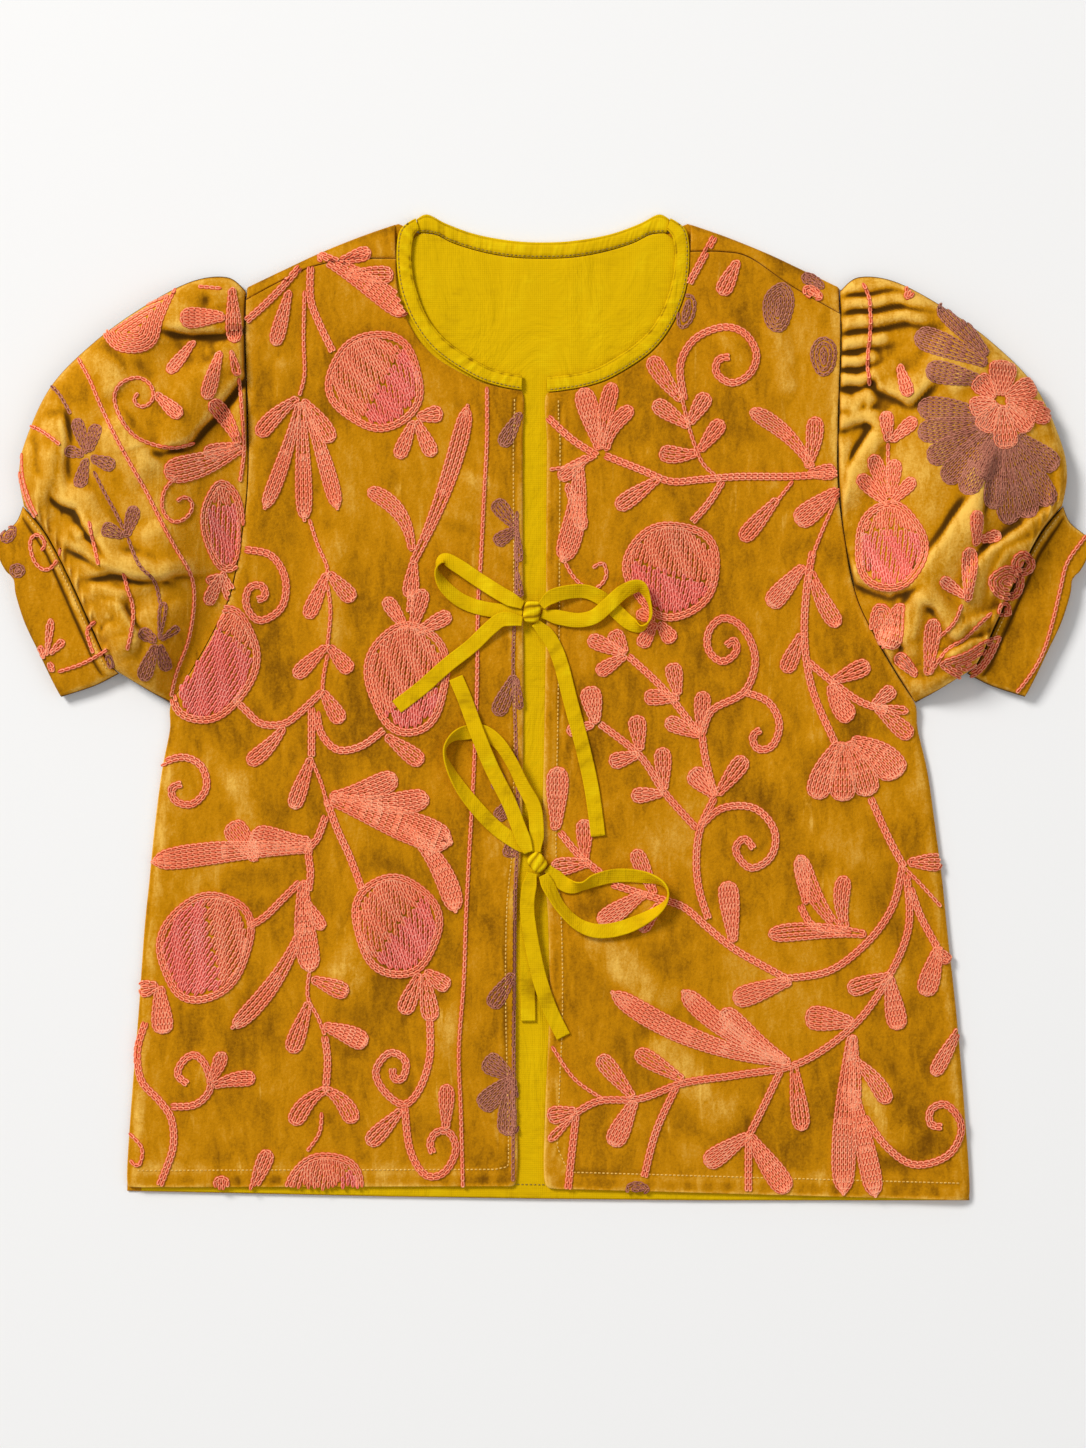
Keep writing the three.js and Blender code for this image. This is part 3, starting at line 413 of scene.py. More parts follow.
def yarn_material(name, low, middle, high):
    """Wool yarn: painted shade in a stitch's gaps, its colour on the strands, and a painted highlight that
    drifts.
    """
    sockets = {"Roughness": 0.8, "Sheen Weight": 0.12, "Specular IOR Level": 0.12}
    material, w, feed = new_material(name, sockets)
    depth = w.value_of("tone")
    drift = w.noise(w.place(), scale=40, detail=2) * 0.5 + w.noise(w.place(), scale=700, detail=2) * 0.5
    # Painted shade: where tone is -1, in a link's hole and at its edges, the colour goes to the low deep red.
    # Painted highlight: the high colour on the strands' tops, mixed with the drift.
    body = (depth * 0.5 + 0.5).ramp(0.1, 0.75).blend(linear(*low), linear(*middle))
    feed("Base Color", (depth * 0.4 + drift * 0.8).ramp(0.4, 0.95).blend(body, linear(*high)))
    feed("Normal", w.bump(w.noise(w.place(), scale=1500, detail=2), distance=0.0003, strength=0.6))
    return material


def thread_material(name, dark, light):
    """Sewing thread: its twist shows as a fine change of tone."""
    material, w, feed = new_material(name, {"Roughness": 0.55})
    twist = w.noise(w.place(), scale=1200, detail=2).ramp(0.3, 0.7)
    feed("Base Color", twist.blend(linear(*dark), linear(*light)))
    feed("Normal", w.bump(w.noise(w.place(), scale=2500, detail=1), distance=0.0001, strength=0.5))
    return material


# Colours: painted shade in the gaps, the yarn's own colour, painted highlight.
YARNS = {
    "coral": yarn_material("coral_yarn", (182, 48, 26), (255, 132, 90), (255, 182, 144)),
    "pink": yarn_material("pink_yarn", (182, 42, 38), (255, 120, 102), (255, 172, 156)),
    "mauve": yarn_material("mauve_yarn", (72, 30, 22), (170, 98, 78), (206, 140, 114)),
}
ochre_thread = thread_material("ochre_thread", (208, 152, 52), (242, 200, 100))
olive_thread = thread_material("olive_thread", (104, 82, 0), (168, 134, 0))
print("materials:", len(bpy.data.materials))

# %% [markdown]
# ## Cloth shells
# A panel is one grid of points for its upper face and the same grid lowered for its under face, joined at
# the rim. The outermost points are pulled to the middle of the cloth, which rounds the edge as a turned hem
# is round. A ribbon is a row of rings, closed at both ends. `ridge_tone` compares each point with its
# smoothed surroundings: it is positive on ridges and negative in valleys. As tone it paints light and shade,
# pale on ridges and dark in valleys, and a shell's rim gets a painted highlight.

# %% Mesh helpers
EDGE_STEPS = np.array([0, 0.5, 1.3])
EDGE_SINK = np.array([0.5, 0.16, 0.0])


def add_mesh(name, points, faces, material, tone):
    """A smooth mesh from points in millimetres, with a tone for each point."""
    mesh = bpy.data.meshes.new(name)
    mesh.from_pydata((np.asarray(points, float) * MM).tolist(), [], [list(map(int, face)) for face in faces])
    mesh.materials.append(material)
    mesh.polygons.foreach_set("use_smooth", np.ones(len(mesh.polygons), bool))
    mesh.attributes.new("tone", "FLOAT", "POINT").data.foreach_set("value", np.ravel(tone))
    mesh.update()
    made = bpy.data.objects.new(name, mesh)
    bpy.context.collection.objects.link(made)
    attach(made, "root")
    return made


def stand_in(made, node, slot):
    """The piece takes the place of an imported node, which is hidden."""
    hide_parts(node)
    return made


def grid_faces(rows, columns, start=0, flip=False, wrap=False):
    j, i = np.meshgrid(np.arange(rows - 1), np.arange(columns if wrap else columns - 1), indexing="ij")
    k = (i + 1) % columns
    corners = [j * columns + i, j * columns + k, (j + 1) * columns + k, (j + 1) * columns + i]
    quads = np.stack(corners, -1).reshape(-1, 4) + start
    return quads[:, ::-1] if flip else quads


def join_rings(first, second):
    """Faces between two rings of points, given by their numbers."""
    return np.stack([first, second, np.roll(second, -1), np.roll(first, -1)], -1)


def softened(z, rounds):
    for _ in range(rounds):
        wide = np.pad(z, 1, mode="edge")
        z = (wide[:-2, 1:-1] + wide[2:, 1:-1] + wide[1:-1, :-2] + wide[1:-1, 2:] + 2 * z) / 6
    return z


def ridge_tone(z, rounds=30, scale=1.4):
    return np.clip((z - softened(z, int(rounds * 1.5))) / scale, -1, 1)


def edge_fractions(count, length):
    """Fractions from 0 to 1 that crowd at both ends, for a rounded rim."""
    near = EDGE_STEPS / length
    middle = np.linspace(near[-1], 1 - near[-1], count)
    return np.concatenate([near[:-1], middle, 1 - near[-2::-1]])


def shell(node, name, x, y, z, thickness, material, tone=None, rim_highlight=0.0):
    """A closed thin shell under a grid of points, with a rounded rim."""
    top = np.stack([x, y, z], -1)
    rows, columns = z.shape
    near = lambda n: np.interp(np.minimum(np.arange(n), np.arange(n)[::-1]), [0, 1, 2], EDGE_SINK)
    sink = np.maximum(near(rows)[:, None], near(columns)[None, :])
    upper, lower = top.copy(), top.copy()
    upper[..., 2] -= sink * thickness
    lower[..., 2] -= thickness * (1 - sink * 0.9)
    # Painted light and shade: ridges pale, valleys dark, and a painted highlight on the rounded rim.
    colour = (ridge_tone(z) if tone is None else tone) + rim_highlight * sink / EDGE_SINK[0]
    half = rows * columns
    index = np.arange(half).reshape(rows, columns)
    rim = np.concatenate([index[0], index[1:, -1], index[-1, -2::-1], index[-2:0:-1, 0]])
    sides = join_rings(rim, rim + half)
    faces = np.concatenate([grid_faces(rows, columns), grid_faces(rows, columns, half, True), sides])
    points = np.concatenate([upper.reshape(-1, 3), lower.reshape(-1, 3)])
    a, b, c = top[0, 0], top[0, 1], top[1, 0]
    if np.cross(b - a, c - a)[2] < 0:
        faces = faces[:, ::-1]
    made = add_mesh(name, points, faces, material, np.tile(colour.ravel(), 2))
    return stand_in(made, node, "lime_cotton" if material == lime else "velvet")


def ribbon_mesh(node, rings, tone, inside_out, caps=True):
    """A lime strip from a grid of points, one ring for each station along it."""
    stations, count = rings.shape[:2]
    faces = grid_faces(stations, count, wrap=True).tolist()
    if caps:
        faces += [list(range(count))[::-1], [(stations - 1) * count + i for i in range(count)]]
    if inside_out:
        faces = [face[::-1] for face in faces]
    made = add_mesh(f"lime_{node}", rings.reshape(-1, 3), faces, lime, tone)
    return stand_in(made, node, "lime_cotton")


print("rim steps:", EDGE_STEPS.tolist())

# %% [markdown]
# ## The two fronts
# The fronts lie nearly flat, with soft troughs where the top was smoothed down by hand. Each fold is a
# bell-shaped ridge along a short line, uneven in height, width and direction. Small puckers stand between
# the hem's stitch line and its edge, because thread shortens velvet a little.

# %% Front panels
# Columns: height, width, start x, start y, end x, end y.
FRONT_FOLDS = [
    [2.4, 11, 112, 246, 140, 168], [2.0, 9, 142, 250, 156, 188], [1.8, 12, 60, 176, 84, 96],
    [2.8, 13, 18, -128, 84, -196], [2.2, 16, 130, -20, 214, -112], [2.4, 15, 172, -96, 232, -192],
    [1.8, 14, 60, -196, 128, -268], [2.0, 13, 196, -60, 168, -4], [1.6, 12, 196, -226, 226, -282],
    [2.2, 12, -162, 232, -170, 150], [1.8, 11, -128, 120, -132, 30], [2.0, 12, -196, -30, -168, -110],
    [2.4, 15, -92, -96, -128, -190], [1.8, 13, -196, -150, -214, -250], [1.8, 14, -58, -176, -66, -268],
    [1.6, 12, -40, 150, -52, 110],
]
HEM_STITCH = 10.6
EDGE_STITCH = {"left": 8.2, "right": 5.6}
GROOVE_DEPTH, GROOVE_WIDTH = 0.45, 1.1
FRONT_GRID, FRONT_SIZE = (96, 190), (260, 590)
NECK_SHARE = NECK_ROW / (len(FRONT_ROWS["left"]) - 1)


def front_top(x, y):
    rise = np.zeros(np.shape(x))
    for height, width, *ends in FRONT_FOLDS:
        rise = rise + fold_height(height, width, width, [ends[:2], ends[2:]], x, y)
    from_armhole = armhole_x(y) - np.abs(x)
    bulk = ARMHOLE_RISE * (1 - smoothstep(0, ARMHOLE_RISE_REACH, from_armhole)) * smoothstep(-30, 30, y)
    return FRONT_TOP + np.minimum(MOST_FOLD, np.maximum(rise, bulk))


def front_stitch_line(side):
    """The topstitching of one front: along the hem, round the corner and up the front edge."""
    sign, rows = SIGN[side], np.array(FRONT_ROWS[side], float)
    hem = lerp(rows[0, :2], rows[0, 2:] * [sign, 1], np.linspace(0.985, 0, 30)[:, None]) + [0, HEM_STITCH]
    edge = spline(rows[:, :2], np.linspace(0.02, (NECK_ROW - 0.2) / (len(rows) - 1), 40))
    edge = edge + [sign * EDGE_STITCH[side], 0]
    hem = hem[sign * hem[:, 0] > sign * edge[0, 0] + 1.5]
    return np.concatenate([hem, edge[edge[:, 1] > hem[-1, 1] + 1.5]])


def front_grid(side):
    """x, y of a front's grid, with each point's distance from the hem, the front edge and the side."""
    sign, rows = SIGN[side], FRONT_ROWS[side]
    a, b = [edge_fractions(count, size) for count, size in zip(FRONT_GRID, FRONT_SIZE)]
    row = spline(rows, b)
    neck = neck_edge(side, NECK_OUTER, EDGE_GAP)
    at_neck = neck(np.clip((b - NECK_SHARE) / (1 - NECK_SHARE), 0, 1))
    inner = np.where((b > NECK_SHARE)[:, None], at_neck, row[:, :2])
    outer_x = np.where(row[:, 3] > ARMHOLE_LOW, armhole_x(row[:, 3]), row[:, 2])
    seam = even_curve(SHOULDER_SEAM[side])(a)
    corner, top = neck(1.0), rows[-1]
    bend = smoothstep(NECK_SHARE, 1, b)[:, None]
    across = lambda i, o: lerp(i[:, None], o[:, None], a[None, :])
    x = across(inner[:, 0], sign * outer_x) + bend * (sign * seam[:, 0] - lerp(corner[0], sign * top[2], a))
    y = across(inner[:, 1], row[:, 3]) + bend * (seam[:, 1] - lerp(corner[1], top[3], a))
    past_neck = smoothstep(NECK_SHARE - 0.005, NECK_SHARE + 0.01, b)[:, None]
    return x, y, y - y[:1], np.abs(x - x[:, :1]) + 60 * past_neck, outer_x[:, None] - np.abs(x)


fronts = {}
for side in ("right", "left"):
    x, y, from_hem, from_edge, from_side = front_grid(side)
    drop = SIDE_DROP * (1 - smoothstep(0, SIDE_DROP_REACH, from_side)) * smoothstep(12, -12, y)
    z = front_top(x, y) - drop + 0.22 * wobble(x, y, scale=34, seed=3) + 0.1 * wobble(x, y, scale=11, seed=4)
    at_hem = smoothstep(HEM_STITCH, 6, from_hem) * smoothstep(0, 2, from_hem)
    pucker = 0.55 * wobble(x, y * 0.15, scale=15, seed=5) * at_hem
    pucker = pucker + 0.3 * wobble(x * 0.2, y, scale=17, seed=6) * smoothstep(EDGE_STITCH[side], 3, from_edge)
    from_stitch = distance_to(front_stitch_line(side), x, y)[0]
    groove = bell(from_stitch, GROOVE_WIDTH)
    z = z + pucker - GROOVE_DEPTH * groove
    # Painted light and shade: folds and puckers pale on ridges and dark in valleys, a painted highlight along
    # the rolled front edge, the hem and the side, and painted shade in the stitch groove, with a pale line
    # 2.2 mm to each side of it.
    tone = 0.12 * ridge_tone(z, 26, 2.2) + 0.4 * ridge_tone(z + GROOVE_DEPTH * groove, 5, 0.35)
    tone = tone + 0.5 * smoothstep(3.4, 0, from_edge) + 0.5 * smoothstep(3, 0, from_hem)
    tone = tone + 0.4 * smoothstep(7, 1, from_side) - 0.35 * groove + 0.3 * bell(from_stitch - 2.2, 1)
    fronts[side] = shell(f"front_{side}", f"velvet_front_{side}", x, y, z, FRONT_CLOTH, velvet, tone, 0.35)
print("front triangles:", 2 * len(fronts["left"].data.polygons))

# %% [markdown]
# ## Back panel, lining and turned shoulders
# The back is cut longer than the front at the shoulders and wraps over them, so a strip of it shows above
# each front shoulder seam. The lining shows in the neck, between the fronts and as a narrow edge below the
# hem.

# %% Back, lining and shoulders
BACK_LOW, BACK_HIGH = -300.0, 262.0
LINING_INSET, SHOULDER_INSET, LINING_HEM = 9, 18, 9


def back_grid(inset, shoulder_drop, columns, rows):
    """x, y of the back's or the lining's grid, inset from the back's edge."""
    a, b = edge_fractions(columns, 500), edge_fractions(rows, 600)
    level = lerp(BACK_LOW, BACK_HIGH, b)
    armhole = armhole_line[::-1]
    side_x = {}
    for side, table in FRONT_ROWS.items():
        line = np.concatenate([np.array(table, float)[1:10, 2:], armhole[armhole[:, 1] > 4]])
        side_x[side] = np.interp(level, line[:, 1], line[:, 0]) - inset
    x = lerp(-side_x["right"][:, None], side_x["left"][:, None], a[None, :])
    y = np.repeat(level[:, None], len(a), 1)
    neck = even_curve(BACK_NECK_LOW)(np.linspace(0, 1, 40)) - [0, SEAM]
    shoulder = np.array(SHOULDER_EDGE) - [0, shoulder_drop]
    top = np.concatenate([shoulder[::-1] * [-1, 1], neck, neck[-2::-1] * [-1, 1], shoulder])
    hem = np.array(BACK_HEM)
    top_y = np.interp(x[-1], top[:, 0], top[:, 1])
    hem_y = np.interp(x[0], hem[:, 0], hem[:, 1]) + min(inset, 0.5)
    share = ((level - BACK_LOW) / (BACK_HIGH - BACK_LOW))[:, None]
    y = y + smoothstep(0.78, 1, share) * (top_y - BACK_HIGH)
    return x, y + smoothstep(0.12, 0, share) * (hem_y - BACK_LOW)


x, y = back_grid(inset=0, shoulder_drop=0, columns=60, rows=70)
back = shell("back", "velvet_back", x, y, np.full(x.shape, VELVET), VELVET, velvet, np.zeros(x.shape))
x, y = back_grid(LINING_INSET, SHOULDER_INSET, columns=100, rows=130)
in_neck = smoothstep(190, 230, y)
crease = 0.16 * wobble(x * 0.5, y, scale=38, seed=8) * in_neck + 0.1 * wobble(x, y * 0.4, scale=16, seed=9)
from_hem = y - y[:1]
under_hem = 0.12 * wobble(x, y * 0, scale=13, seed=10) * smoothstep(LINING_HEM, 6, from_hem)
z = LINING_BASE + LINING + crease - (0.4 * bell(from_hem - LINING_HEM, 0.8) + under_hem)
# The lining's tone paints light and shade on its creases: pale on their ridges, dark in their hollows.
lining = shell("back_lining", "lime_lining", x, y, z, LINING, lime, ridge_tone(z, 20, 0.35) * 0.5)
print("lining size in mm:", round(np.ptp(x)), round(np.ptp(y)))

shoulders = {}
for side in ("right", "left"):
    a, b = edge_fractions(60, 95), edge_fractions(14, 17)[:, None]
    low = even_curve(SHOULDER_SEAM[side])(lerp(0.002, 0.998, a))
    high = even_curve(SHOULDER_EDGE)(lerp(0.03, 0.995, a))
    x = lerp(low[:, 0], high[:, 0], b) * SIGN[side]
    y = lerp(low[:, 1] + EDGE_GAP, high[:, 1], b)
    z = front_top(x, y) - 1.9 * b * b + 0.15 * wobble(x, y, scale=12, seed=12)
    node = f"back_shoulder_{side}"
    # No tone is given, so the shell paints light and shade from the folds, with a painted highlight on its
    # rim.
    shoulders[side] = shell(node, f"velvet_shoulder_{side}", x, y, z, FRONT_CLOTH, velvet, None, 0.35)
print("turned shoulders:", list(shoulders))

# %% [markdown]
# ## Neck binding
# A bias strip is folded over the raw neck edge and stitched through. On a curve its inner side is too long,
# so it makes small wrinkles across. The strip is lofted along the neck with an uneven wave that is
# strongest inside.

# %% Binding strips
# Section: across, height, and a painted shade: darker in the stitched grooves beside both edges and on
# the sides, a little paler on top.
BINDING_SECTION = np.array(
    [[0, 0, -0.4], [0, 0.62, 0.1], [0.05, 0.86, 0.25], [0.13, 0.76, -0.5], [0.21, 0.95, 0.1], [0.36, 1, 0.15],
     [0.5, 1, 0.1], [0.64, 1, 0.1], [0.77, 0.97, 0.05], [0.87, 0.8, -0.5], [0.95, 0.78, 0], [1, 0.4, -0.6],
     [0.93, 0, -0.6]]
)
BINDING_SLANT, BINDING_LIFT = 2.4, 0.7


def binding(node, inner, outer, base, top, stations, seed, end=None):
    """A binding between two edge curves. It closes in on an end, if one is given, and sinks there."""
    f = np.linspace(0, 1, stations)
    a, b = outer(f), inner(f)
    if end is not None:
        closing = smoothstep(0.955, 1, f)[:, None]
        a, b = [lerp(edge, np.array(corner), closing * 0.98) for edge, corner in zip((a, b), end)]
        base = base - 1.2 * closing
    along = f * length_along(a)[-1]
    still = np.zeros(stations)
    wrinkle = 0.7 * wobble(along, still, scale=9, seed=seed)
    wrinkle = wrinkle + 0.8 * wobble(along, still, scale=4.2, seed=seed + 1)
    share, height, shade = BINDING_SECTION.T
    slanted = np.interp(along[:, None] + BINDING_SLANT * share, along, wrinkle) * smoothstep(0.02, 0.3, share)
    x, y = [lerp(a[:, k : k + 1], b[:, k : k + 1], share) for k in (0, 1)]
    z = base + (top - (FRONT_BASE + BINDING_LIFT if end else base)) * height * (1 + 0.12 * slanted)
    (ax, ay), (bx, by) = a[1] - a[0], b[0] - a[0]
    # Painted light and shade: the section's painted shade, and the wrinkles pale on their crests and dark
    # between them.
    tone = np.clip(shade + 0.45 * slanted, -1, 1)
    return ribbon_mesh(node, np.stack([x, y, z], -1), tone, inside_out=ax * by - ay * bx < 0)


def stretch(curve):
    return lambda f: curve(np.asarray(f) / NECK_SEAM_SHARE)


def whole(rows):
    """A curve through the rows and their mirror image."""
    return even_curve(rows + [[-x, y] for x, y in rows[-2::-1]])


bindings = {}
for seed, side in ((20, "right"), (30, "left")):
    edges = [stretch(neck_edge(side, rows, 0)) for rows in (NECK_INNER, NECK_OUTER)]
    corners = [(SIGN[side] * 79.4, 305.4), (SIGN[side] * 77.2, 298)]
    bindings[side] = binding(
        f"neck_binding_{side}", *edges, base=FRONT_BASE + BINDING_LIFT, top=FRONT_TOP + 1.1,
        stations=260, seed=seed, end=corners,
    )
bindings["back"] = binding(
    "neck_binding_back", whole(BACK_NECK_LOW), whole(BACK_NECK_TOP), base=0, top=3.8, stations=240, seed=40
)
print("binding pieces:", len(bindings))

# %% [markdown]
# ## Puff sleeves
# A puff sleeve is cut much wider than the armhole and the cuff, and gathered into both. Laid down it
# becomes a soft, half-flat bag: full in the middle, thin at both seams, with ridges that run out from each
# gather and fade. A patch between the four edges gives the plan; a rounded profile gives the fullness;
# ridges and folds go on top.

# %% Sleeve tables
SLEEVE_EDGE = 4.5
SLEEVE_ARMHOLE_TOP = 8.2
SLEEVE_PUFF = 27
SLEEVE_CUFF_TOP = 12.5
CUFF_TOP, CUFF_MOUTH_TOP = 11.5, 9.5
UNDER_TUCK = 4
LEAST_HOLLOW = 0.8

# Gathers at the cuff seam. Columns: place along the seam, width, height, reach, drift.
CUFF_GATHERS = {
    "left": [
        [0.05, 0.02, 3, 0.12, 0.01], [0.12, 0.022, 4, 0.16, 0.02], [0.2, 0.02, 3.5, 0.12, 0.02],
        [0.28, 0.022, 4, 0.14, 0.02], [0.36, 0.02, 3, 0.1, 0.01], [0.44, 0.022, 4, 0.16, 0],
        [0.53, 0.024, 3.5, 0.12, 0], [0.62, 0.022, 4, 0.14, -0.02], [0.71, 0.024, 3.5, 0.12, -0.02],
        [0.8, 0.024, 4, 0.16, -0.03], [0.9, 0.026, 3, 0.12, -0.02],
    ],
    "right": [
        [0.06, 0.022, 3, 0.12, 0.01], [0.14, 0.02, 3.5, 0.14, 0.02], [0.21, 0.022, 4, 0.12, 0.02],
        [0.3, 0.02, 3, 0.12, 0.01], [0.37, 0.022, 4, 0.16, 0.01], [0.45, 0.02, 3, 0.1, 0],
        [0.52, 0.024, 4, 0.14, 0], [0.6, 0.022, 3.5, 0.12, -0.01], [0.69, 0.024, 4, 0.14, -0.02],
        [0.78, 0.022, 3.5, 0.12, -0.02], [0.88, 0.026, 3.5, 0.14, -0.02],
    ],
}

# Folds and head gathers. Columns: height, width on the left and on the right of the line, then its points
# x, y.
SLEEVE_FOLDS = {
    "right": [
        [7, 3, 12, -176, 242, -198, 237, -217, 236, -241, 241],
        [8, 3, 16, -176, 222, -191, 206, -209, 182, -223, 165, -243, 162],
        [4, 4, 4, -179, 257, -194, 257, -211, 253], [4, 4, 5, -179, 266, -194, 263, -217, 261],
        [4, 4, 4, -178, 230, -192, 227, -206, 221], [4, 4, 4, -179, 222, -197, 216, -211, 202],
        [5, 7, 5, -178, 201, -187, 185, -189, 160], [3, 10, 8, -204, 215, -214, 198, -228, 185],
        [-3, 8, 8, -217, 227, -236, 217, -256, 205], [4, 6, 10, -287, 226, -272, 210, -259, 192],
        [4, 5, 11, -269, 182, -257, 163, -237, 141], [3, 14, 14, -246, 261, -229, 255, -211, 247],
        [5, 3, 9, -301, 185, -299, 162, -300, 127], [5, 4, 5, -326, 172, -318, 143, -307, 111],
        [5, 4, 5, -306, 167, -308, 143, -314, 123], [7, 8, 3, -306, 135, -287, 125, -277, 111, -262, 88],
        [6, 7, 3, -302, 108, -282, 96, -262, 87, -239, 80], [4, 4, 3, -293, 105, -283, 112, -274, 107],
        [5, 6, 3, -292, 83, -269, 86, -239, 83, -206, 88],
        [5, 3, 6, -283, 65, -263, 60, -254, 46, -257, 30], [4, 4, 4, -286, 73, -271, 71, -256, 65],
        [-2, 5, 5, -263, 62, -242, 67, -221, 75], [4, 4, 4, -274, 50, -266, 45, -261, 28],
        [3, 12, 12, -246, 117, -239, 97, -246, 80],
    ],
    "left": [
        [4.5, 3.4, 3.2, 177, 270, 199, 273, 221, 271],
        [5.5, 3.4, 3, 177, 259.5, 200, 263, 222, 265, 243, 260],
        [6, 3.4, 3, 177, 248.5, 202, 252, 222, 255, 248, 250],
        [6, 3.6, 3, 177, 237, 202, 240, 226, 244, 244, 240], [5, 3.4, 2.8, 177, 226, 198, 228, 218, 230],
        [5, 3.2, 2.8, 177, 215, 196, 216, 210, 221], [5.5, 3.4, 2.8, 177, 203.5, 196, 203, 208, 209],
        [6, 9, 3, 203, 220, 211, 200, 226, 192, 247, 210],
        [5, 4, 3, 178, 190, 193, 188, 201, 193, 206, 186],
        [5, 4, 3, 178, 176, 192, 180, 201, 182, 213, 177],
        [6, 6, 3, 213, 181, 203, 165, 193, 146, 188, 117], [3, 4, 4, 186, 173, 187, 148, 184, 117],
        [6, 13, 3, 271, 132, 257, 115, 243, 95, 222, 67], [6, 3, 7, 279, 163, 272, 143, 268, 122, 268, 97],
        [4, 16, 16, 242, 236, 261, 223, 273, 198], [4, 4, 4, 314, 172, 323, 151, 323, 130, 314, 115],
        [6, 6, 3, 189, 95, 198, 80, 216, 73, 233, 80], [6, 5, 3, 236, 76, 228, 61, 226, 42, 228, 20],
        [6, 6, 3, 229, 72, 244, 63, 256, 47, 263, 42],
        [6, 4, 4, 231, 51, 216, 41, 213, 25, 226, 12, 247, 11],
        [8, 3, 9, 262, 60, 267, 83, 279, 98, 297, 107, 319, 126],
        [6, 3, 8, 279, 61, 281, 80, 289, 95, 311, 105], [6, 3, 7, 239, 27, 261, 35, 279, 42, 298, 57],
        [5, 4, 4, 261, 47, 272, 53, 292, 58, 301, 65], [5, 4, 4, 242, 11, 261, 20, 277, 30],
        [4, 4, 4, 318, 122, 308, 115, 297, 112], [4, 4, 4, 314, 107, 304, 101, 294, 92],
    ],
}
FOLD_LIMIT = 10
ROLL_POWER = 2.7


def patch(near, far, high, low):
    """A patch between four edge curves; s runs from near to far and t from high to low."""

    def place(s, t):
        s, t = s[..., None], t[..., None]
        ruled = lerp(near(t[..., 0]), far(t[..., 0]), s) + lerp(high(s[..., 0]), low(s[..., 0]), t)
        corners = lerp(lerp(near(0.0), near(1.0), t), lerp(far(0.0), far(1.0), t), s)
        return ruled - corners

    return place


def gather_height(rows, place, distance):
    """What the gathers of a seam add, at a place along it and a distance from it."""
    rise = np.zeros(place.shape)
    for at, width, height, reach, drift in rows:
        fade = smoothstep(0, 0.05, distance) * (1 - smoothstep(0.25 * reach, reach, distance))
        beside = place - at - drift * distance / reach
        rise = rise + height * bell(beside, width * (1 + 0.5 * distance)) * fade
    return rise


def tube(part, side, plan, top, stations, columns, floor_columns, wall, tone_rounds, lift):
    """A flattened velvet tube on the floor: outer and inner faces, joined at both mouths."""
    plan_here = lambda s, t: plan(s, t) * [SIGN[side], 1]
    s, t = np.broadcast_arrays(stations[:, None], np.linspace(0, 1, columns)[None, :])
    upper = np.concatenate([plan_here(s, t), top(s, t)[..., None]], -1)
    upper[1:-1, 1:-1, 2] = softened(upper[..., 2], 2)[1:-1, 1:-1]
    across = np.linalg.norm(upper[:, 0, :2] - upper[:, -1, :2], axis=1)[:, None]
    inset, tuck = wall / across, UNDER_TUCK / across
    t_in = lerp(inset, 1 - inset, t)
    inner_z = np.maximum(wall + LEAST_HOLLOW, top(s, t_in) - wall * 1.3)
    inner = np.concatenate([plan_here(s, t_in), inner_z[..., None]], -1)
    s_low, back = np.broadcast_arrays(stations[:, None], np.linspace(1, 0, floor_columns)[None, :])
    floor = plan_here(s_low, lerp(tuck, 1 - tuck, back))
    raised = plan_here(s_low, lerp(tuck + inset / 2, 1 - tuck - inset / 2, back))
    flat = np.zeros(floor.shape[:2] + (1,))
    outer = np.concatenate([upper, np.concatenate([floor, flat], -1)], 1)
    inner = np.concatenate([inner, np.concatenate([raised, flat + wall], -1)], 1)
    rows, ring = outer.shape[:2]
    half = rows * ring
    first = np.arange(ring)
    last = first + half - ring
    mouths = [join_rings(first, first + half), join_rings(last, last + half)[:, [0, 3, 2, 1]]]
    walls = [grid_faces(rows, ring, wrap=True), grid_faces(rows, ring, half, flip=True, wrap=True)]
    faces = np.concatenate(walls + mouths)
    corner, beside, ahead = outer[0, columns // 2], outer[0, columns // 2 + 1], outer[1, columns // 2]
    if np.cross(ahead - corner, beside - corner)[2] > 0:
        faces = faces[:, ::-1]
    shade = np.zeros(outer.shape[:2])
    # Painted light and shade: ridges get a pale highlight and creases a stronger painted shade; lift makes
    # the whole piece paler.
    fine, broad = ridge_tone(upper[..., 2], 3, 0.35), ridge_tone(upper[..., 2], tone_rounds, 2.6)
    shade[:, :columns] = lift + 0.3 * broad + np.where(fine < 0, 1.3, 0.5) * fine
    points = np.concatenate([outer.reshape(-1, 3), inner.reshape(-1, 3)])
    made = add_mesh(f"velvet_{part}_{side}", points, faces, velvet, np.tile(shade.ravel(), 2))
    return stand_in(made, f"{part}_{side}", "velvet")


print("gathers and folds per sleeve:", [len(CUFF_GATHERS[side]) + len(SLEEVE_FOLDS[side]) for side in SIGN])

# %% Sleeves
SLEEVE_GRID, SLEEVE_WALL, SLEEVE_SQUARENESS = (124, 236), 1.8, 2.8
SLEEVE_LIFT = {"left": 0.36, "right": 0.2}


def moved(rows, which, gap=(EDGE_GAP, 0)):
    """The rows with some of them moved by the gap at a seam."""
    return [[x + gap[0], y + gap[1]] if i in which else [x, y] for i, (x, y) in enumerate(rows)]


sleeve_plan = patch(
    even_curve(moved(ARMHOLE, range(len(ARMHOLE)))), even_curve(CUFF_SEAM),
    even_curve(moved(SLEEVE_CAP, [0])), even_curve(moved(SLEEVE_UNDER, [0])),
)


def round_profile(t, power):
    """A section of a laid-down tube: 0 at both sides, 1 in the middle, squarer with a higher power."""
    return np.maximum(0, 1 - np.abs(2 * t - 1) ** power) ** (1 / power)


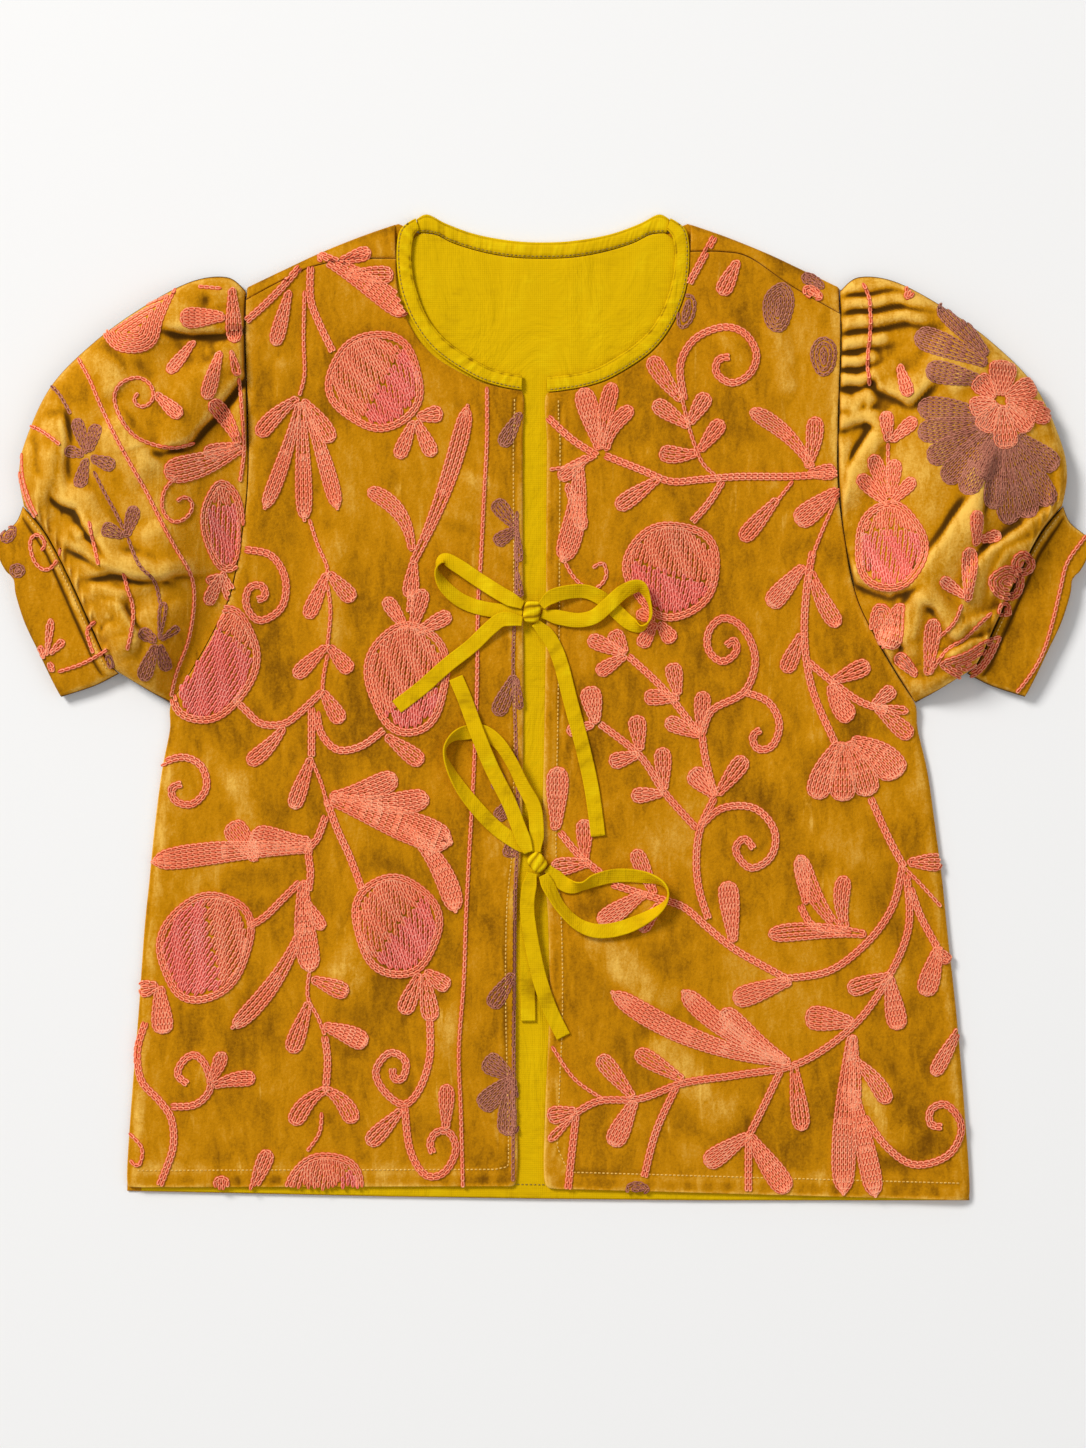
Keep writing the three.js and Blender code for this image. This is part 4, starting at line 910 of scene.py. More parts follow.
def sleeve_top(side):
    def top(s, t):
        profile = round_profile(t, SLEEVE_SQUARENESS)
        puff = smoothstep(0, 0.42, s) * smoothstep(1.12, 0.6, s)
        seams = lerp(SLEEVE_ARMHOLE_TOP, SLEEVE_CUFF_TOP, s)
        height = SLEEVE_EDGE + (seams - SLEEVE_EDGE + (SLEEVE_PUFF - seams) * puff) * profile
        where = sleeve_plan(s, t) * [SIGN[side], 1]
        x, y = where[..., 0], where[..., 1]
        x = x + 1.5 * wobble(x, y, scale=30, seed=50 + SIGN[side])
        y = y + 1.5 * wobble(x, y, scale=30, seed=60 + SIGN[side])
        rise = gather_height(CUFF_GATHERS[side], t, 1 - s)
        for fold_rise, width_a, width_b, *line in SLEEVE_FOLDS[side]:
            line = np.reshape(line, (-1, 2))
            rise = rise + fold_height(fold_rise, width_a, width_b, line, x, y, ROLL_POWER)
        at_seams = smoothstep(-0.01, 0.02, s) * smoothstep(-0.01, 0.02, 1 - s)
        rise = FOLD_LIMIT * np.tanh(rise / FOLD_LIMIT) * at_seams
        return height + rise * np.minimum(1, profile * 1.2)

    return top


stations = smoothstep(-0.18, 1.18, np.linspace(0, 1, SLEEVE_GRID[0]))
stations = (stations - stations[0]) / (stations[-1] - stations[0])
sleeves = {}
for side in ("right", "left"):
    sleeves[side] = tube(
        "sleeve", side, sleeve_plan, sleeve_top(side), stations, columns=SLEEVE_GRID[1], floor_columns=30,
        wall=SLEEVE_WALL, tone_rounds=40, lift=SLEEVE_LIFT[side],
    )
print("sleeve triangles:", 2 * len(sleeves["left"].data.polygons))

# %% [markdown]
# ## Cuffs
# The sleeve ends in a plain flared band. It lies nearly flat, with a shallow hollow between its two layers
# and a soft wave where the gathers push it.

# %% Cuffs
CUFF_GRID, CUFF_WALL, CUFF_SQUARENESS, CUFF_TONE_LIFT = (30, 130), 2.2, 4, 0.14
CUFF_GAP = (SEAM * 2, -SEAM * 1.2)
cuff_plan = patch(
    even_curve(moved(CUFF_SEAM, range(len(CUFF_SEAM)), CUFF_GAP)), even_curve(CUFF_MOUTH),
    even_curve(moved(CUFF_TOP_EDGE, [0], CUFF_GAP)), even_curve(moved(CUFF_LOW_EDGE, [0], CUFF_GAP)),
)


def cuff_top(s, t):
    wave = 0.8 * np.sin(9 * t + 2 * s) * (1 - s) + 0.35 * np.sin(23 * t + 5 * s) * (1 - s) ** 2
    seam = 1.5 * bell(s - 0.09, 0.07) - 0.8 * bell(s - 0.2, 0.03)
    fullness = lerp(CUFF_TOP, CUFF_MOUTH_TOP, s) - SLEEVE_EDGE + wave + seam
    return SLEEVE_EDGE + fullness * round_profile(t, CUFF_SQUARENESS)


cuffs = {}
for side in ("right", "left"):
    cuffs[side] = tube(
        "cuff", side, cuff_plan, cuff_top, np.linspace(0, 1, CUFF_GRID[0]), columns=CUFF_GRID[1],
        floor_columns=16, wall=CUFF_WALL, tone_rounds=20, lift=CUFF_TONE_LIFT,
    )
print("cuffs:", list(cuffs))

# %% [markdown]
# ## Ties
# Each tie is a sewn strip, pressed flat and tied in a bow. A flat strip turns by rolling about its own
# line, so each row of the table gives a place, a lift over the cloth below and a roll. A strip is gathered
# narrow at the knot.

# %% Tie tables
TIE_WIDTH, TIE_THICK, TIE_CLEARANCE = 9.2, 1.2, 0.55
TIE_GATHER, TIE_GATHER_REACH = 0.62, 11
TIE_STEPS = 9
TIE_KNOTS = {
    "knot_upper": {"x": -6.9, "y": 59.7, "lift": 3.6, "long": 15, "wide": 11, "turn": 80},
    "knot_lower": {"x": -3.6, "y": -96.5, "lift": 3.6, "long": 13, "wide": 11, "turn": -52},
}
TIES = {
    "loop_upper_right": [
        [-12.4, 63.8, 3.8, 0], [-24, 69.4, 4.2, 0], [-39.4, 79, 3.6, 5], [-53.1, 88.2, 3.6, 12],
        [-62, 92.6, 4.4, 45], [-66.2, 86.5, 5.2, 95], [-62.5, 77, 4.2, 140], [-54, 68.6, 2.2, 165],
        [-44, 63.6, 1.2, 180], [-32, 60.8, 1.2, 180], [-20, 59.6, 1.6, 180], [-12.9, 58.8, 1.8, 180],
    ],
    "loop_upper_left": [
        [-1, 63.2, 4.6, 0], [5, 68.6, 5.2, 10], [14, 71.6, 4.4, 20], [25.6, 72.4, 2.6, 20],
        [35.6, 68.6, 1.4, 8], [45, 60.6, 1.2, 0], [54, 52.6, 1.6, 20], [62, 49.8, 4.6, 70],
        [66.8, 56, 5.2, 95], [66, 66, 5.2, 100], [60.5, 75.4, 5.4, 140], [50.5, 72.4, 5, 165],
        [40.4, 63.6, 4.4, 180], [31.9, 56.6, 3.6, 180], [21.9, 54.4, 2, 180], [10.6, 56, 2, 180],
        [-0.8, 58.4, 2.2, 180],
    ],
    "tail_upper_right": [
        [-12.9, 53.6, 3.4, 0], [-24.6, 55, 4, 0], [-33, 49.4, 3.2, 0], [-45, 38, 1.5, 0],
        [-60, 26.2, 2.6, 0], [-76, 12, 1.2, 0], [-91.3, 0.3, 1, 0],
    ],
    "tail_upper_left": [
        [-4.9, 52.8, 3, 0], [4.2, 43, 1.4, 0], [10.6, 29, 1.2, 0], [16.9, 5, 1.1, 0],
        [25, -26, 1.1, 0], [30.6, -52, 1.1, 0], [34.4, -80.3, 1.1, 0],
    ],
    "loop_lower_right": [
        [-9.8, -88.2, 1.4, 0], [-29.4, -75, 1.4, 0], [-46.5, -56.4, 2.2, 25], [-57.1, -40, 4.2, 60],
        [-61.4, -27, 4.8, 85], [-56, -18.4, 4.2, 60], [-46.4, -15.4, 1, 8], [-36.9, -15.6, 1, 8],
        [-27.4, -22.4, 2.2, 30], [-19.4, -34.4, 3, 35], [-12.6, -48.4, 3, 30], [-5.6, -62, 2.6, 10],
        [-4, -76, 2.4, 0], [-4.2, -90.2, 3.4, 0],
    ],
    "loop_lower_left": [
        [2.6, -100.2, 2.2, 0], [14, -110.6, 1.8, 0], [24, -111.4, 4.4, 55], [33, -107.6, 3.4, 30],
        [46, -104.8, 2.4, 20], [62, -105.6, 3.4, 35], [74.4, -109.6, 4.8, 75], [78, -117.4, 5, 90],
        [71.5, -126.4, 4.4, 60], [53.5, -136, 3, 15], [36, -139.4, 2.4, 12], [22.4, -135.4, 2.8, 35],
        [11.4, -125, 4, 45], [4.6, -113.6, 5, 30], [0.2, -104.4, 4.8, 10],
    ],
    "tail_lower_up": [
        [-9, -90.4, 5, 0], [-15.4, -74, 4.6, 0], [-21.4, -58.8, 3.6, 0], [-31.2, -39.4, 3.4, 0],
        [-39.4, -20, 5.4, 0], [-48.4, 4.4, 1.4, 0], [-54.4, 18.6, 1, 0],
    ],
    "tail_lower_gap": [
        [-7.2, -102.8, 1.2, 0], [-9, -114, -0.4, 0], [-9.4, -126, -1.5, 0], [-9.6, -150, -1.5, 0],
        [-9.4, -174, -1.5, 0], [-9.2, -195.9, -1.5, 0],
    ],
    "tail_lower_left": [
        [-6.4, -103.4, 3.4, 0], [-9, -114.8, 3, 8], [-9.8, -126, 2.4, 8], [-8.2, -140, 1.8, 8],
        [-5.6, -154, 1.4, 6], [-2.4, -168, 1.6, 0], [2, -182, 1.8, 0], [7, -194, 1.4, 0],
        [12.8, -205.3, 1.2, 0],
    ],
}
TIE_SECTION = np.array(
    [[-0.5, 0], [-0.49, 0.34], [-0.45, 0.5], [-0.4, 0.42], [-0.2, 0.46], [0, 0.5],
     [0.2, 0.46], [0.4, 0.42], [0.45, 0.5], [0.49, 0.34], [0.5, 0], [0.49, -0.34],
     [0.45, -0.5], [0, -0.5], [-0.45, -0.5], [-0.49, -0.34]]
)


def inner_edge_x(side, y):
    rows = np.array(FRONT_ROWS[side][: NECK_ROW + 1])
    return np.interp(y, rows[:, 1], rows[:, 0])


def resting_top(x, y):
    """The height that a ribbon may not go below: the lining's between the fronts, else the front's."""
    between = (x > inner_edge_x("right", y)) & (x < inner_edge_x("left", y))
    return np.where(between, LINING_BASE + LINING, front_top(x, y))


def ribbon(node, rows, seed):
    """A flat strip along the rows of its table, and its length."""
    f = np.linspace(0, 1, len(rows) * TIE_STEPS + 1)

    def centre(f):
        found = spline(rows, np.clip(f, 0, 1))
        found[:, 2] = front_top(found[:, 0], found[:, 1]) + found[:, 2]
        return found[:, :3], np.radians(found[:, 3:])

    at, angle = centre(f)
    along = unit(centre(f + 0.006)[0] - centre(f - 0.006)[0])
    across = unit(np.cross([0, 0, 1], along))
    across = across * np.cos(angle) + np.cross(along, across) * np.sin(angle)
    up = np.cross(along, across)
    from_knot = np.min([np.hypot(at[:, 0] - k["x"], at[:, 1] - k["y"]) for k in TIE_KNOTS.values()], axis=0)
    gathered = 1 - smoothstep(TIE_GATHER_REACH * 0.6, TIE_GATHER_REACH * 1.5, from_knot)[:, None]
    u, v = TIE_SECTION.T
    width = TIE_WIDTH * lerp(1, TIE_GATHER, gathered)
    thick = TIE_THICK * (1 + 0.35 * gathered * np.cos(u * 16))
    rings = at[:, None] + across[:, None] * (u * width)[..., None] + up[:, None] * (v * thick)[..., None]
    short = resting_top(rings[..., 0], rings[..., 1]) + TIE_CLEARANCE - rings[..., 2]
    rings[..., 2] += np.maximum(0, short.max(axis=1))[:, None]
    distance = length_along(at)
    # The crease wave lifts the strip a little and, as tone, paints light and shade: its high parts paler and
    # its low parts darker.
    crease = wobble(distance[:, None] + 3 * u, u[None, :] * 4, scale=14, seed=seed)
    rings[..., 2] += 0.12 * crease
    return ribbon_mesh(node, rings, crease * 0.5, inside_out=True), float(distance[-1])


ties = {name: ribbon(name, rows, 70 + i) for i, (name, rows) in enumerate(TIES.items())}
print("tie lengths in mm:", {name: round(length) for name, (_, length) in ties.items()})

# %% [markdown]
# ## Knots
# A flat knot is one turn of the strip, pulled tight over the others. It is a squashed ball here, with
# creases that run the way the turn was pulled.

# %% Knots
KNOT_GRID, KNOT_HALF_THICK, KNOT_SQUARENESS = (26, 48), 2.7, 0.72


def rotation(degrees):
    """What turns rows of x, y anticlockwise, by a matrix product."""
    cos, sin = math.cos(math.radians(degrees)), math.sin(math.radians(degrees))
    return np.array([[cos, sin], [-sin, cos]])


def knot(node, x, y, lift, long, wide, turn):
    lat = np.linspace(-np.pi / 2, np.pi / 2, KNOT_GRID[0])[:, None]
    lon = np.linspace(0, 2 * np.pi, KNOT_GRID[1], endpoint=False)[None, :]
    level = np.cos(lat)
    ball = np.stack(np.broadcast_arrays(level * np.cos(lon), level * np.sin(lon), np.sin(lat)), -1)
    ridge = 1 + 0.055 * np.cos(ball[..., 0] * 9 + ball[..., 1] * 2.5)
    rings = np.sign(ball) * np.abs(ball) ** KNOT_SQUARENESS * [long / 2, wide / 2, KNOT_HALF_THICK] * 0.97
    rings[..., 2] *= ridge * 1.04
    rings[..., :2] = rings[..., :2] @ rotation(turn)
    rings += [x, y, front_top(np.array(x), np.array(y)) + lift]
    # Tone paints light and shade on the knot: paler on its ridges, darker between them.
    return ribbon_mesh(node, rings, np.clip((ridge - 1) * 14, -1, 1), inside_out=False, caps=False)


knots = {name: knot(name, **facts) for name, facts in TIE_KNOTS.items()}
print("knots:", list(knots))

# %% [markdown]
# ## Chain stitch
# The embroidery is chain stitch in wool yarn: each link is a loop that comes out of the one before. A link
# is a small patch with two strands, a hole between them and a closed end. Thousands of links are made in
# one go with arrays. To lie on the velvet, each link drops a ray straight down and takes the height and
# slope that it hits. Where a fold is too steep, no link is laid, as the needle would have missed it.

# %% Links on cloth
LINK_PITCH, ROW_PITCH, STITCH_PITCH = 3.8, 2.55, 2.6
LINK_WIDE, LINK_HEIGHT = 2.95, 1.05
STITCH_WIDE, STITCH_HEIGHT = 0.85, 0.35
STEEPEST, LEAST_LEVEL = 0.28, 0.35
RAY_FROM = 0.2
LINK = {
    "across": [-1, -0.6, 0, 0.6, 1],
    "along": [-0.1, 0.34, 0.72, 1.06],
    "widths": [0.44, 0.9, 1, 0.66],
    "heights": [[0.15, 0.6, 0.5, 0.6, 0.15], [-0.25, 0.95, 0.2, 0.95, -0.25],
                [-0.25, 1, -0.25, 1, -0.25], [-0.25, 0.8, 0.92, 0.8, -0.25]],
    # Painted shade at a link's edges and in its hole, and a painted highlight on its strands.
    "tones": [[-1, 0.3, -0.6, 0.3, -1], [-1, 1, -0.9, 1, -1],
              [-1, 1, -1, 1, -1], [-1, 0.9, 1, 0.9, -1]],
}
# One stitch of sewing thread: a short bar that dips into the cloth at both ends.
BAR = {
    "across": [-1, -0.6, 0, 0.6, 1],
    "along": [0.1, 0.28, 0.72, 0.9],
    "widths": [0.5, 1, 1, 0.5],
    "heights": [[-1] * 5, [-0.3, 0.7, 1, 0.7, -0.3], [-0.3, 0.7, 1, 0.7, -0.3], [-1] * 5],
    "tones": [[0] * 5] * 4,
}


def tree_of(objects):
    points, faces = [], []
    for made in objects:
        start = len(points)
        points += [v.co for v in made.data.vertices]
        faces += [[start + i for i in p.vertices] for p in made.data.polygons]
    return BVHTree.FromPolygons(points, faces)


trees = {f"front_{side}": tree_of([fronts[side], shoulders[side]]) for side in SIGN}
trees |= {f"sleeve_{side}": tree_of([sleeves[side], cuffs[side]]) for side in SIGN}
trees |= {"binding": tree_of(bindings.values()), "lining": tree_of([lining])}


def steps_along(points, pitch):
    """Middles and spans of even steps along a line."""
    total = length_along(points)[-1]
    place = at_length(points, np.linspace(0, total, max(1, int(round(total / pitch))) + 1))
    return (place[1:] + place[:-1]) / 2, place[1:] - place[:-1]


def lay(rows, tree, lift):
    """Where each step of the rows lands on the cloth: its place, its span along and its normal."""
    landed = []
    for (x, y), (dx, dy) in [step for row in rows for step in zip(*row)]:
        hit, normal, _, _ = tree.ray_cast(Vector((x * MM, y * MM, RAY_FROM)), Vector((0, 0, -1)))
        if hit is None:
            continue
        n = np.array(normal) * np.sign(normal[2] or 1)
        if n[2] < STEEPEST:
            continue
        n[2] = max(n[2], LEAST_LEVEL)
        slope = -(n[0] * dx + n[1] * dy) / n[2]
        landed.append([[x, y, hit.z / MM + lift], [dx, dy, slope], n / np.linalg.norm(n)])
    return np.array(landed).reshape(-1, 3, 3).transpose(1, 0, 2)


def links_mesh(name, laid, shape, width, height, material):
    """One small patch of the shape for each place, all in one mesh."""
    place, along, normal = [part[:, None, None] for part in laid]
    across = np.cross(normal, unit(along))
    u = (np.array(shape["along"]) - 0.5)[:, None, None]
    v = (np.outer(shape["widths"], shape["across"]) * width / 2)[..., None]
    w = (np.array(shape["heights"]) * height)[..., None]
    points = place + along * u + across * v + normal * w
    count, rows, columns = points.shape[:3]
    starts = rows * columns * np.arange(count)[:, None, None]
    faces = (grid_faces(rows, columns, flip=True) + starts).reshape(-1, 4)
    made = add_mesh(name, points.reshape(-1, 3), faces, material, np.tile(np.ravel(shape["tones"]), count))
    return made


print("velvet under the embroidery is ready:", list(trees))

# %% [markdown]
# ## Motifs
# The pattern is drawn from a few forms: a club-shaped leaf, a vine, a curl and a round fruit with
# a crown. `fill` goes round and round inside an outline, as an embroiderer does: it moves the outline
# inwards by one row at a time and keeps what is still that far from the edge. A leaf has one row round its
# outline, and inside it rows that run lengthwise, fewer where it is narrow. A fruit has two rows round it
# and bowed rows from end to end.

# %% Motif helpers


def closed_outline(points):
    points = np.concatenate([points, points[:1]])
    total = length_along(points)[-1]
    return at_length(points, np.linspace(0, total, max(12, int(total / OUTLINE_STEP)), endpoint=False))


def row_pitch(half):
    """The pitch, near the usual one, at which whole rows fill a half width."""
    return half / max(1, round(half / ROW_PITCH))


def fill(points, pitch=ROW_PITCH, most=40):
    """Rows of chain stitch inside a closed outline, in millimetres."""
    outline = closed_outline(points)
    tangent = np.roll(outline, -2, 0) - np.roll(outline, 2, 0)
    tangent /= np.linalg.norm(tangent, axis=1, keepdims=True) + 1e-9
    following = np.roll(outline, -1, 0)
    turning = np.sign(np.sum(outline[:, 0] * following[:, 1] - outline[:, 1] * following[:, 0]))
    inward = np.stack([-tangent[:, 1], tangent[:, 0]], -1) * turning
    rows = []
    for k in range(most):
        depth = pitch * (k + 0.5)
        moved = outline + inward * depth
        gap = np.linalg.norm(moved[:, None] - outline[None], axis=2).min(axis=1)
        keep = gap > depth * 0.97 - 0.25
        if not keep.any():
            break
        if keep.all():
            rows.append(np.concatenate([moved, moved[:1]]))
            continue
        start = int(np.argmin(keep))
        keep, moved = np.roll(keep, -start), np.roll(moved, -start, 0)
        runs = np.split(np.arange(len(keep)), np.where(np.diff(keep))[0] + 1)
        rows += [moved[run] for run in runs if keep[run[0]] and length_along(moved[run])[-1] > 2]
    return rows


LEAF_STEPS, ROUND_STEPS = 26, 60

# How wide a leaf is along its length. Columns: share of the length, share of the width.
LEAF_PROFILE = np.array(
    [[0, 0.46], [0.15, 0.56], [0.4, 0.8], [0.6, 0.96], [0.8, 1], [0.92, 0.86], [0.98, 0.5], [1, 0.15]]
)


def leaf(u0, v0, u1, v1, width, bend=0):
    """A club-shaped leaf from its base to its tip, in photo pixels; bend moves its middle to one side."""
    f = np.linspace(0, 1, LEAF_STEPS)
    base, tip = from_photo([[u0, v0], [u1, v1]])
    along = tip - base
    side = np.array([-along[1], along[0]]) / np.linalg.norm(along)
    middle = 4 * f * (1 - f) * bend * PIXEL
    spine = base + along * f[:, None] + side * middle[:, None]
    half = np.interp(f, *LEAF_PROFILE.T) * width * PIXEL / 2
    normal = left_of(spine)
    outline = np.concatenate([spine + normal * half[:, None], (spine - normal * half[:, None])[::-1]])
    pitch = row_pitch(width * PIXEL / 2)
    rows = fill(outline, pitch, most=1)
    inner = half - pitch / 2
    inside = np.maximum(np.round(2 * inner / pitch + 0.1) - 1, 0).astype(int)
    inside[f > 1 - pitch / np.linalg.norm(along)] = 0
    for run in np.split(np.arange(len(f)), np.where(np.diff(inside))[0] + 1):
        count, run = inside[run[0]], slice(max(run[0] - 1, 0), run[-1] + 2)
        for part in np.linspace(-1, 1, count + 2)[1:-1]:
            rows.append(spine[run] + normal[run] * inner[run, None] * part)
    return rows


def vine(rows, *points):
    """A smooth stem through photo pixels, one or two rows wide."""
    corners = from_photo(np.reshape(points, (-1, 2)))
    line = even_curve(corners)(np.linspace(0, 1, 30 * len(corners)))
    return [line + left_of(line) * ROW_PITCH * side for side in ((0,) if rows == 1 else (-0.46, 0.46))]


def round_form(u, v, half_wide, half_high, turn=0):
    """The outline of a round body in photo pixels, turned by its angle in degrees."""
    angle = np.linspace(0, 2 * np.pi, ROUND_STEPS, endpoint=False)
    uneven = 1 + 0.035 * np.sin(3 * angle + u) + 0.02 * np.sin(5 * angle + v)
    form = np.stack([half_wide * uneven * np.cos(angle), half_high * uneven * np.sin(angle)], -1)
    return [u, v] + form @ rotation(turn) * [1, -1]


def filled_round(*row):
    return fill(from_photo(round_form(*row)), row_pitch(min(row[2:4]) * PIXEL))


def filled_outline(*points):
    """A free outline through photo pixels, filled."""
    corners = np.reshape(points + points[:2], (-1, 2))
    return fill(even_curve(from_photo(corners))(np.linspace(0, 0.99, 60)))


def fruit(u, v, half_wide, half_high, turn, split, lean):
    """A round fruit: two rows round its edge and bowed rows inside. They change yarn at a leaning border."""
    wide, high = [half * PIXEL - 1.7 * ROW_PITCH for half in (half_wide, half_high)]
    middle = from_photo([u, v])
    parts = {"coral": fill(from_photo(round_form(u, v, half_wide, half_high, turn)))[:2], "pink": []}
    count = int(2 * wide / ROW_PITCH)
    for k in range(count):
        across = (k + 0.5 - count / 2) * 2 * wide / count
        reach = high * math.sqrt(max(0, 1 - (0.93 * across / wide) ** 2))
        border = np.clip(split * high + lean * across + 2.2 * math.sin(across * 1.1), -reach, reach)
        for yarn, low, top in (("pink", -reach, border), ("coral", border, reach)):
            if top - low < LINK_PITCH:
                continue
            y = np.linspace(low + (k % 2) * LINK_PITCH / 2, top, 12)
            x = across * (1 - 0.3 * (y / high) ** 2) + 0.8 * np.sin(y * 0.22 + across * 0.4 + u)
            parts[yarn].append(middle + np.stack([x, y], -1) @ rotation(turn))
    return parts


print("a leaf has rows:", len(leaf(300, 400, 300, 450, 20)))

# %% [markdown]
# ## Placing the motifs
# The tables give each form's place and size in rounded photo pixels: base, tip, width and bend, if any,
# for a leaf, and a few points for a vine or a curl.

# %% Motif tables
CORAL_LEAVES = [
    # wearer's right front, shoulder to chest
    [290, 290, 275, 348, 16], [300, 398, 258, 438, 19, -3], [302, 400, 333, 444, 20, 2],
    [300, 402, 265, 510, 16, 3], [302, 402, 305, 522, 18], [304, 402, 338, 510, 17, 2],
    [412, 552, 366, 490, 18, -13], [412, 565, 468, 405, 19, -6], [414, 560, 410, 600, 18],
    [416, 418, 444, 413, 19], [414, 420, 398, 460, 16], [416, 420, 434, 458, 17],
    [345, 275, 395, 276, 20], [340, 262, 372, 252, 16], [318, 256, 408, 316, 24, 4],
    # down the main vine
    [328, 572, 307, 620, 17], [328, 572, 355, 602, 19], [328, 645, 294, 678, 17],
    [328, 645, 352, 673, 18], [322, 690, 343, 724, 19], [285, 726, 247, 764, 18, 3],
    [312, 756, 293, 810, 18], [385, 735, 424, 764, 20], [408, 632, 385, 597, 16],
    [412, 632, 424, 588, 18], [414, 634, 452, 614, 17],
    [330, 797, 398, 776, 24, -4], [350, 800, 430, 797, 24, -5], [332, 798, 452, 843, 34],
    [405, 826, 456, 912, 22, 9],
    [312, 843, 250, 836, 30, 3], [312, 848, 152, 862, 24, -4], [258, 860, 230, 822, 26],
    # below the waist
    [304, 880, 312, 972, 24, -3], [306, 900, 324, 930, 14],
    [304, 922, 232, 1028, 19, 9], [311, 978, 350, 993, 20], [310, 1000, 291, 1054, 20],
    [324, 1026, 368, 1044, 21, 2], [328, 1088, 294, 1126, 20, -6], [324, 1088, 354, 1124, 20, 6],
    [252, 1192, 270, 1148, 18], [222, 1200, 222, 1174, 18],
    [160, 985, 138, 990, 20], [160, 986, 164, 1034, 22],
    [212, 1086, 257, 1078, 17, 3], [210, 1082, 223, 1050, 15, -2],
    [420, 972, 403, 1015, 20], [424, 972, 432, 1022, 20], [424, 970, 450, 988, 19],
    [403, 1108, 367, 1145, 20], [446, 1130, 447, 1082, 17],
    # wearer's left front, top
    [600, 450, 582, 388, 22], [602, 450, 614, 382, 18, 3], [606, 452, 634, 408, 17, 7],
    [590, 456, 558, 480, 16], [578, 462, 562, 562, 24, 6], [566, 484, 583, 532, 15, 2],
    [660, 478, 615, 509, 19], [698, 453, 658, 452, 20, 3], [698, 453, 723, 420, 18],
    [690, 428, 652, 402, 19], [688, 426, 708, 393, 19], [682, 402, 650, 356, 20, 2],
    [738, 260, 720, 297, 19], [812, 470, 748, 411, 18, -8], [806, 470, 814, 416, 19, -3],
    [806, 474, 836, 472, 18], [778, 498, 740, 542, 19], [838, 490, 795, 524, 24],
    [655, 622, 640, 648, 16], [658, 622, 674, 643, 18], [655, 620, 636, 612, 14],
    # sprigs and stem of the chest
    [626, 655, 587, 638, 17], [626, 655, 612, 630, 19], [626, 655, 596, 674, 16],
    [678, 697, 672, 662, 19], [680, 698, 643, 697, 18], [700, 735, 703, 690, 18],
    [700, 736, 664, 720, 18], [716, 796, 690, 770, 22], [716, 796, 746, 756, 20],
    [664, 792, 662, 746, 19], [664, 793, 630, 796, 17], [640, 752, 636, 714, 20],
    [640, 754, 608, 763, 18], [596, 724, 589, 686, 22], [594, 724, 566, 732, 14],
    [803, 566, 768, 607, 21], [810, 570, 839, 628, 19, -3], [802, 632, 784, 674, 19],
    [830, 682, 870, 664, 20], [830, 684, 852, 720, 22, -3], [872, 706, 894, 688, 17],
    [874, 706, 912, 738, 20], [878, 706, 910, 712, 12],
    [840, 742, 816, 800, 26, -4], [842, 742, 842, 802, 28], [846, 742, 868, 797, 28, 3],
    [850, 742, 898, 778, 34, 6],
    [556, 830, 558, 766, 23], [585, 862, 584, 818, 18], [592, 862, 550, 868, 20],
    [655, 896, 634, 848, 18],
    # lower half of the wearer's left front
    [645, 892, 598, 924, 21], [660, 902, 640, 932, 14], [733, 942, 727, 880, 21],
    [790, 980, 732, 1000, 22], [866, 934, 766, 935, 20, -4], [842, 932, 799, 853, 20, 7],
    [846, 930, 845, 874, 18, 5], [892, 974, 846, 990, 20], [888, 976, 898, 1030, 21],
    [854, 1022, 804, 1016, 26], [938, 946, 924, 996, 22], [932, 948, 950, 962, 14],
    [790, 1062, 611, 991, 22, 13], [784, 1060, 682, 990, 21, 7], [786, 1060, 721, 1008, 22, 4],
    [793, 1062, 802, 1132, 20], [748, 1134, 704, 1164, 21], [748, 1134, 788, 1192, 24],
    [684, 1080, 634, 1050, 20], [634, 1098, 598, 1054, 20], [634, 1100, 612, 1146, 22],
    [578, 1110, 546, 1116, 20], [575, 1114, 547, 1142, 12],
    [852, 1034, 843, 1194, 25, -3], [853, 1090, 875, 1196, 21], [852, 1058, 888, 1104, 19, 4],
    [853, 1034, 851, 1110, 20], [960, 1026, 932, 1076, 16], [906, 862, 944, 862, 20],
    [806, 905, 800, 856, 17],
]
MAUVE_LEAVES = [
    [521, 412, 501, 448, 17], [518, 530, 494, 500, 19], [518, 528, 494, 544, 16],
    [517, 528, 519, 565, 12], [515, 674, 496, 717, 19], [517, 676, 520, 712, 10],
    [500, 772, 498, 792, 18], [512, 800, 496, 820, 16], [514, 836, 508, 858, 16],
    [514, 972, 490, 1008, 20], [511, 1076, 484, 1058, 24], [510, 1078, 480, 1108, 23],
    [511, 1076, 508, 1136, 24], [517, 570, 520, 600, 10],
]
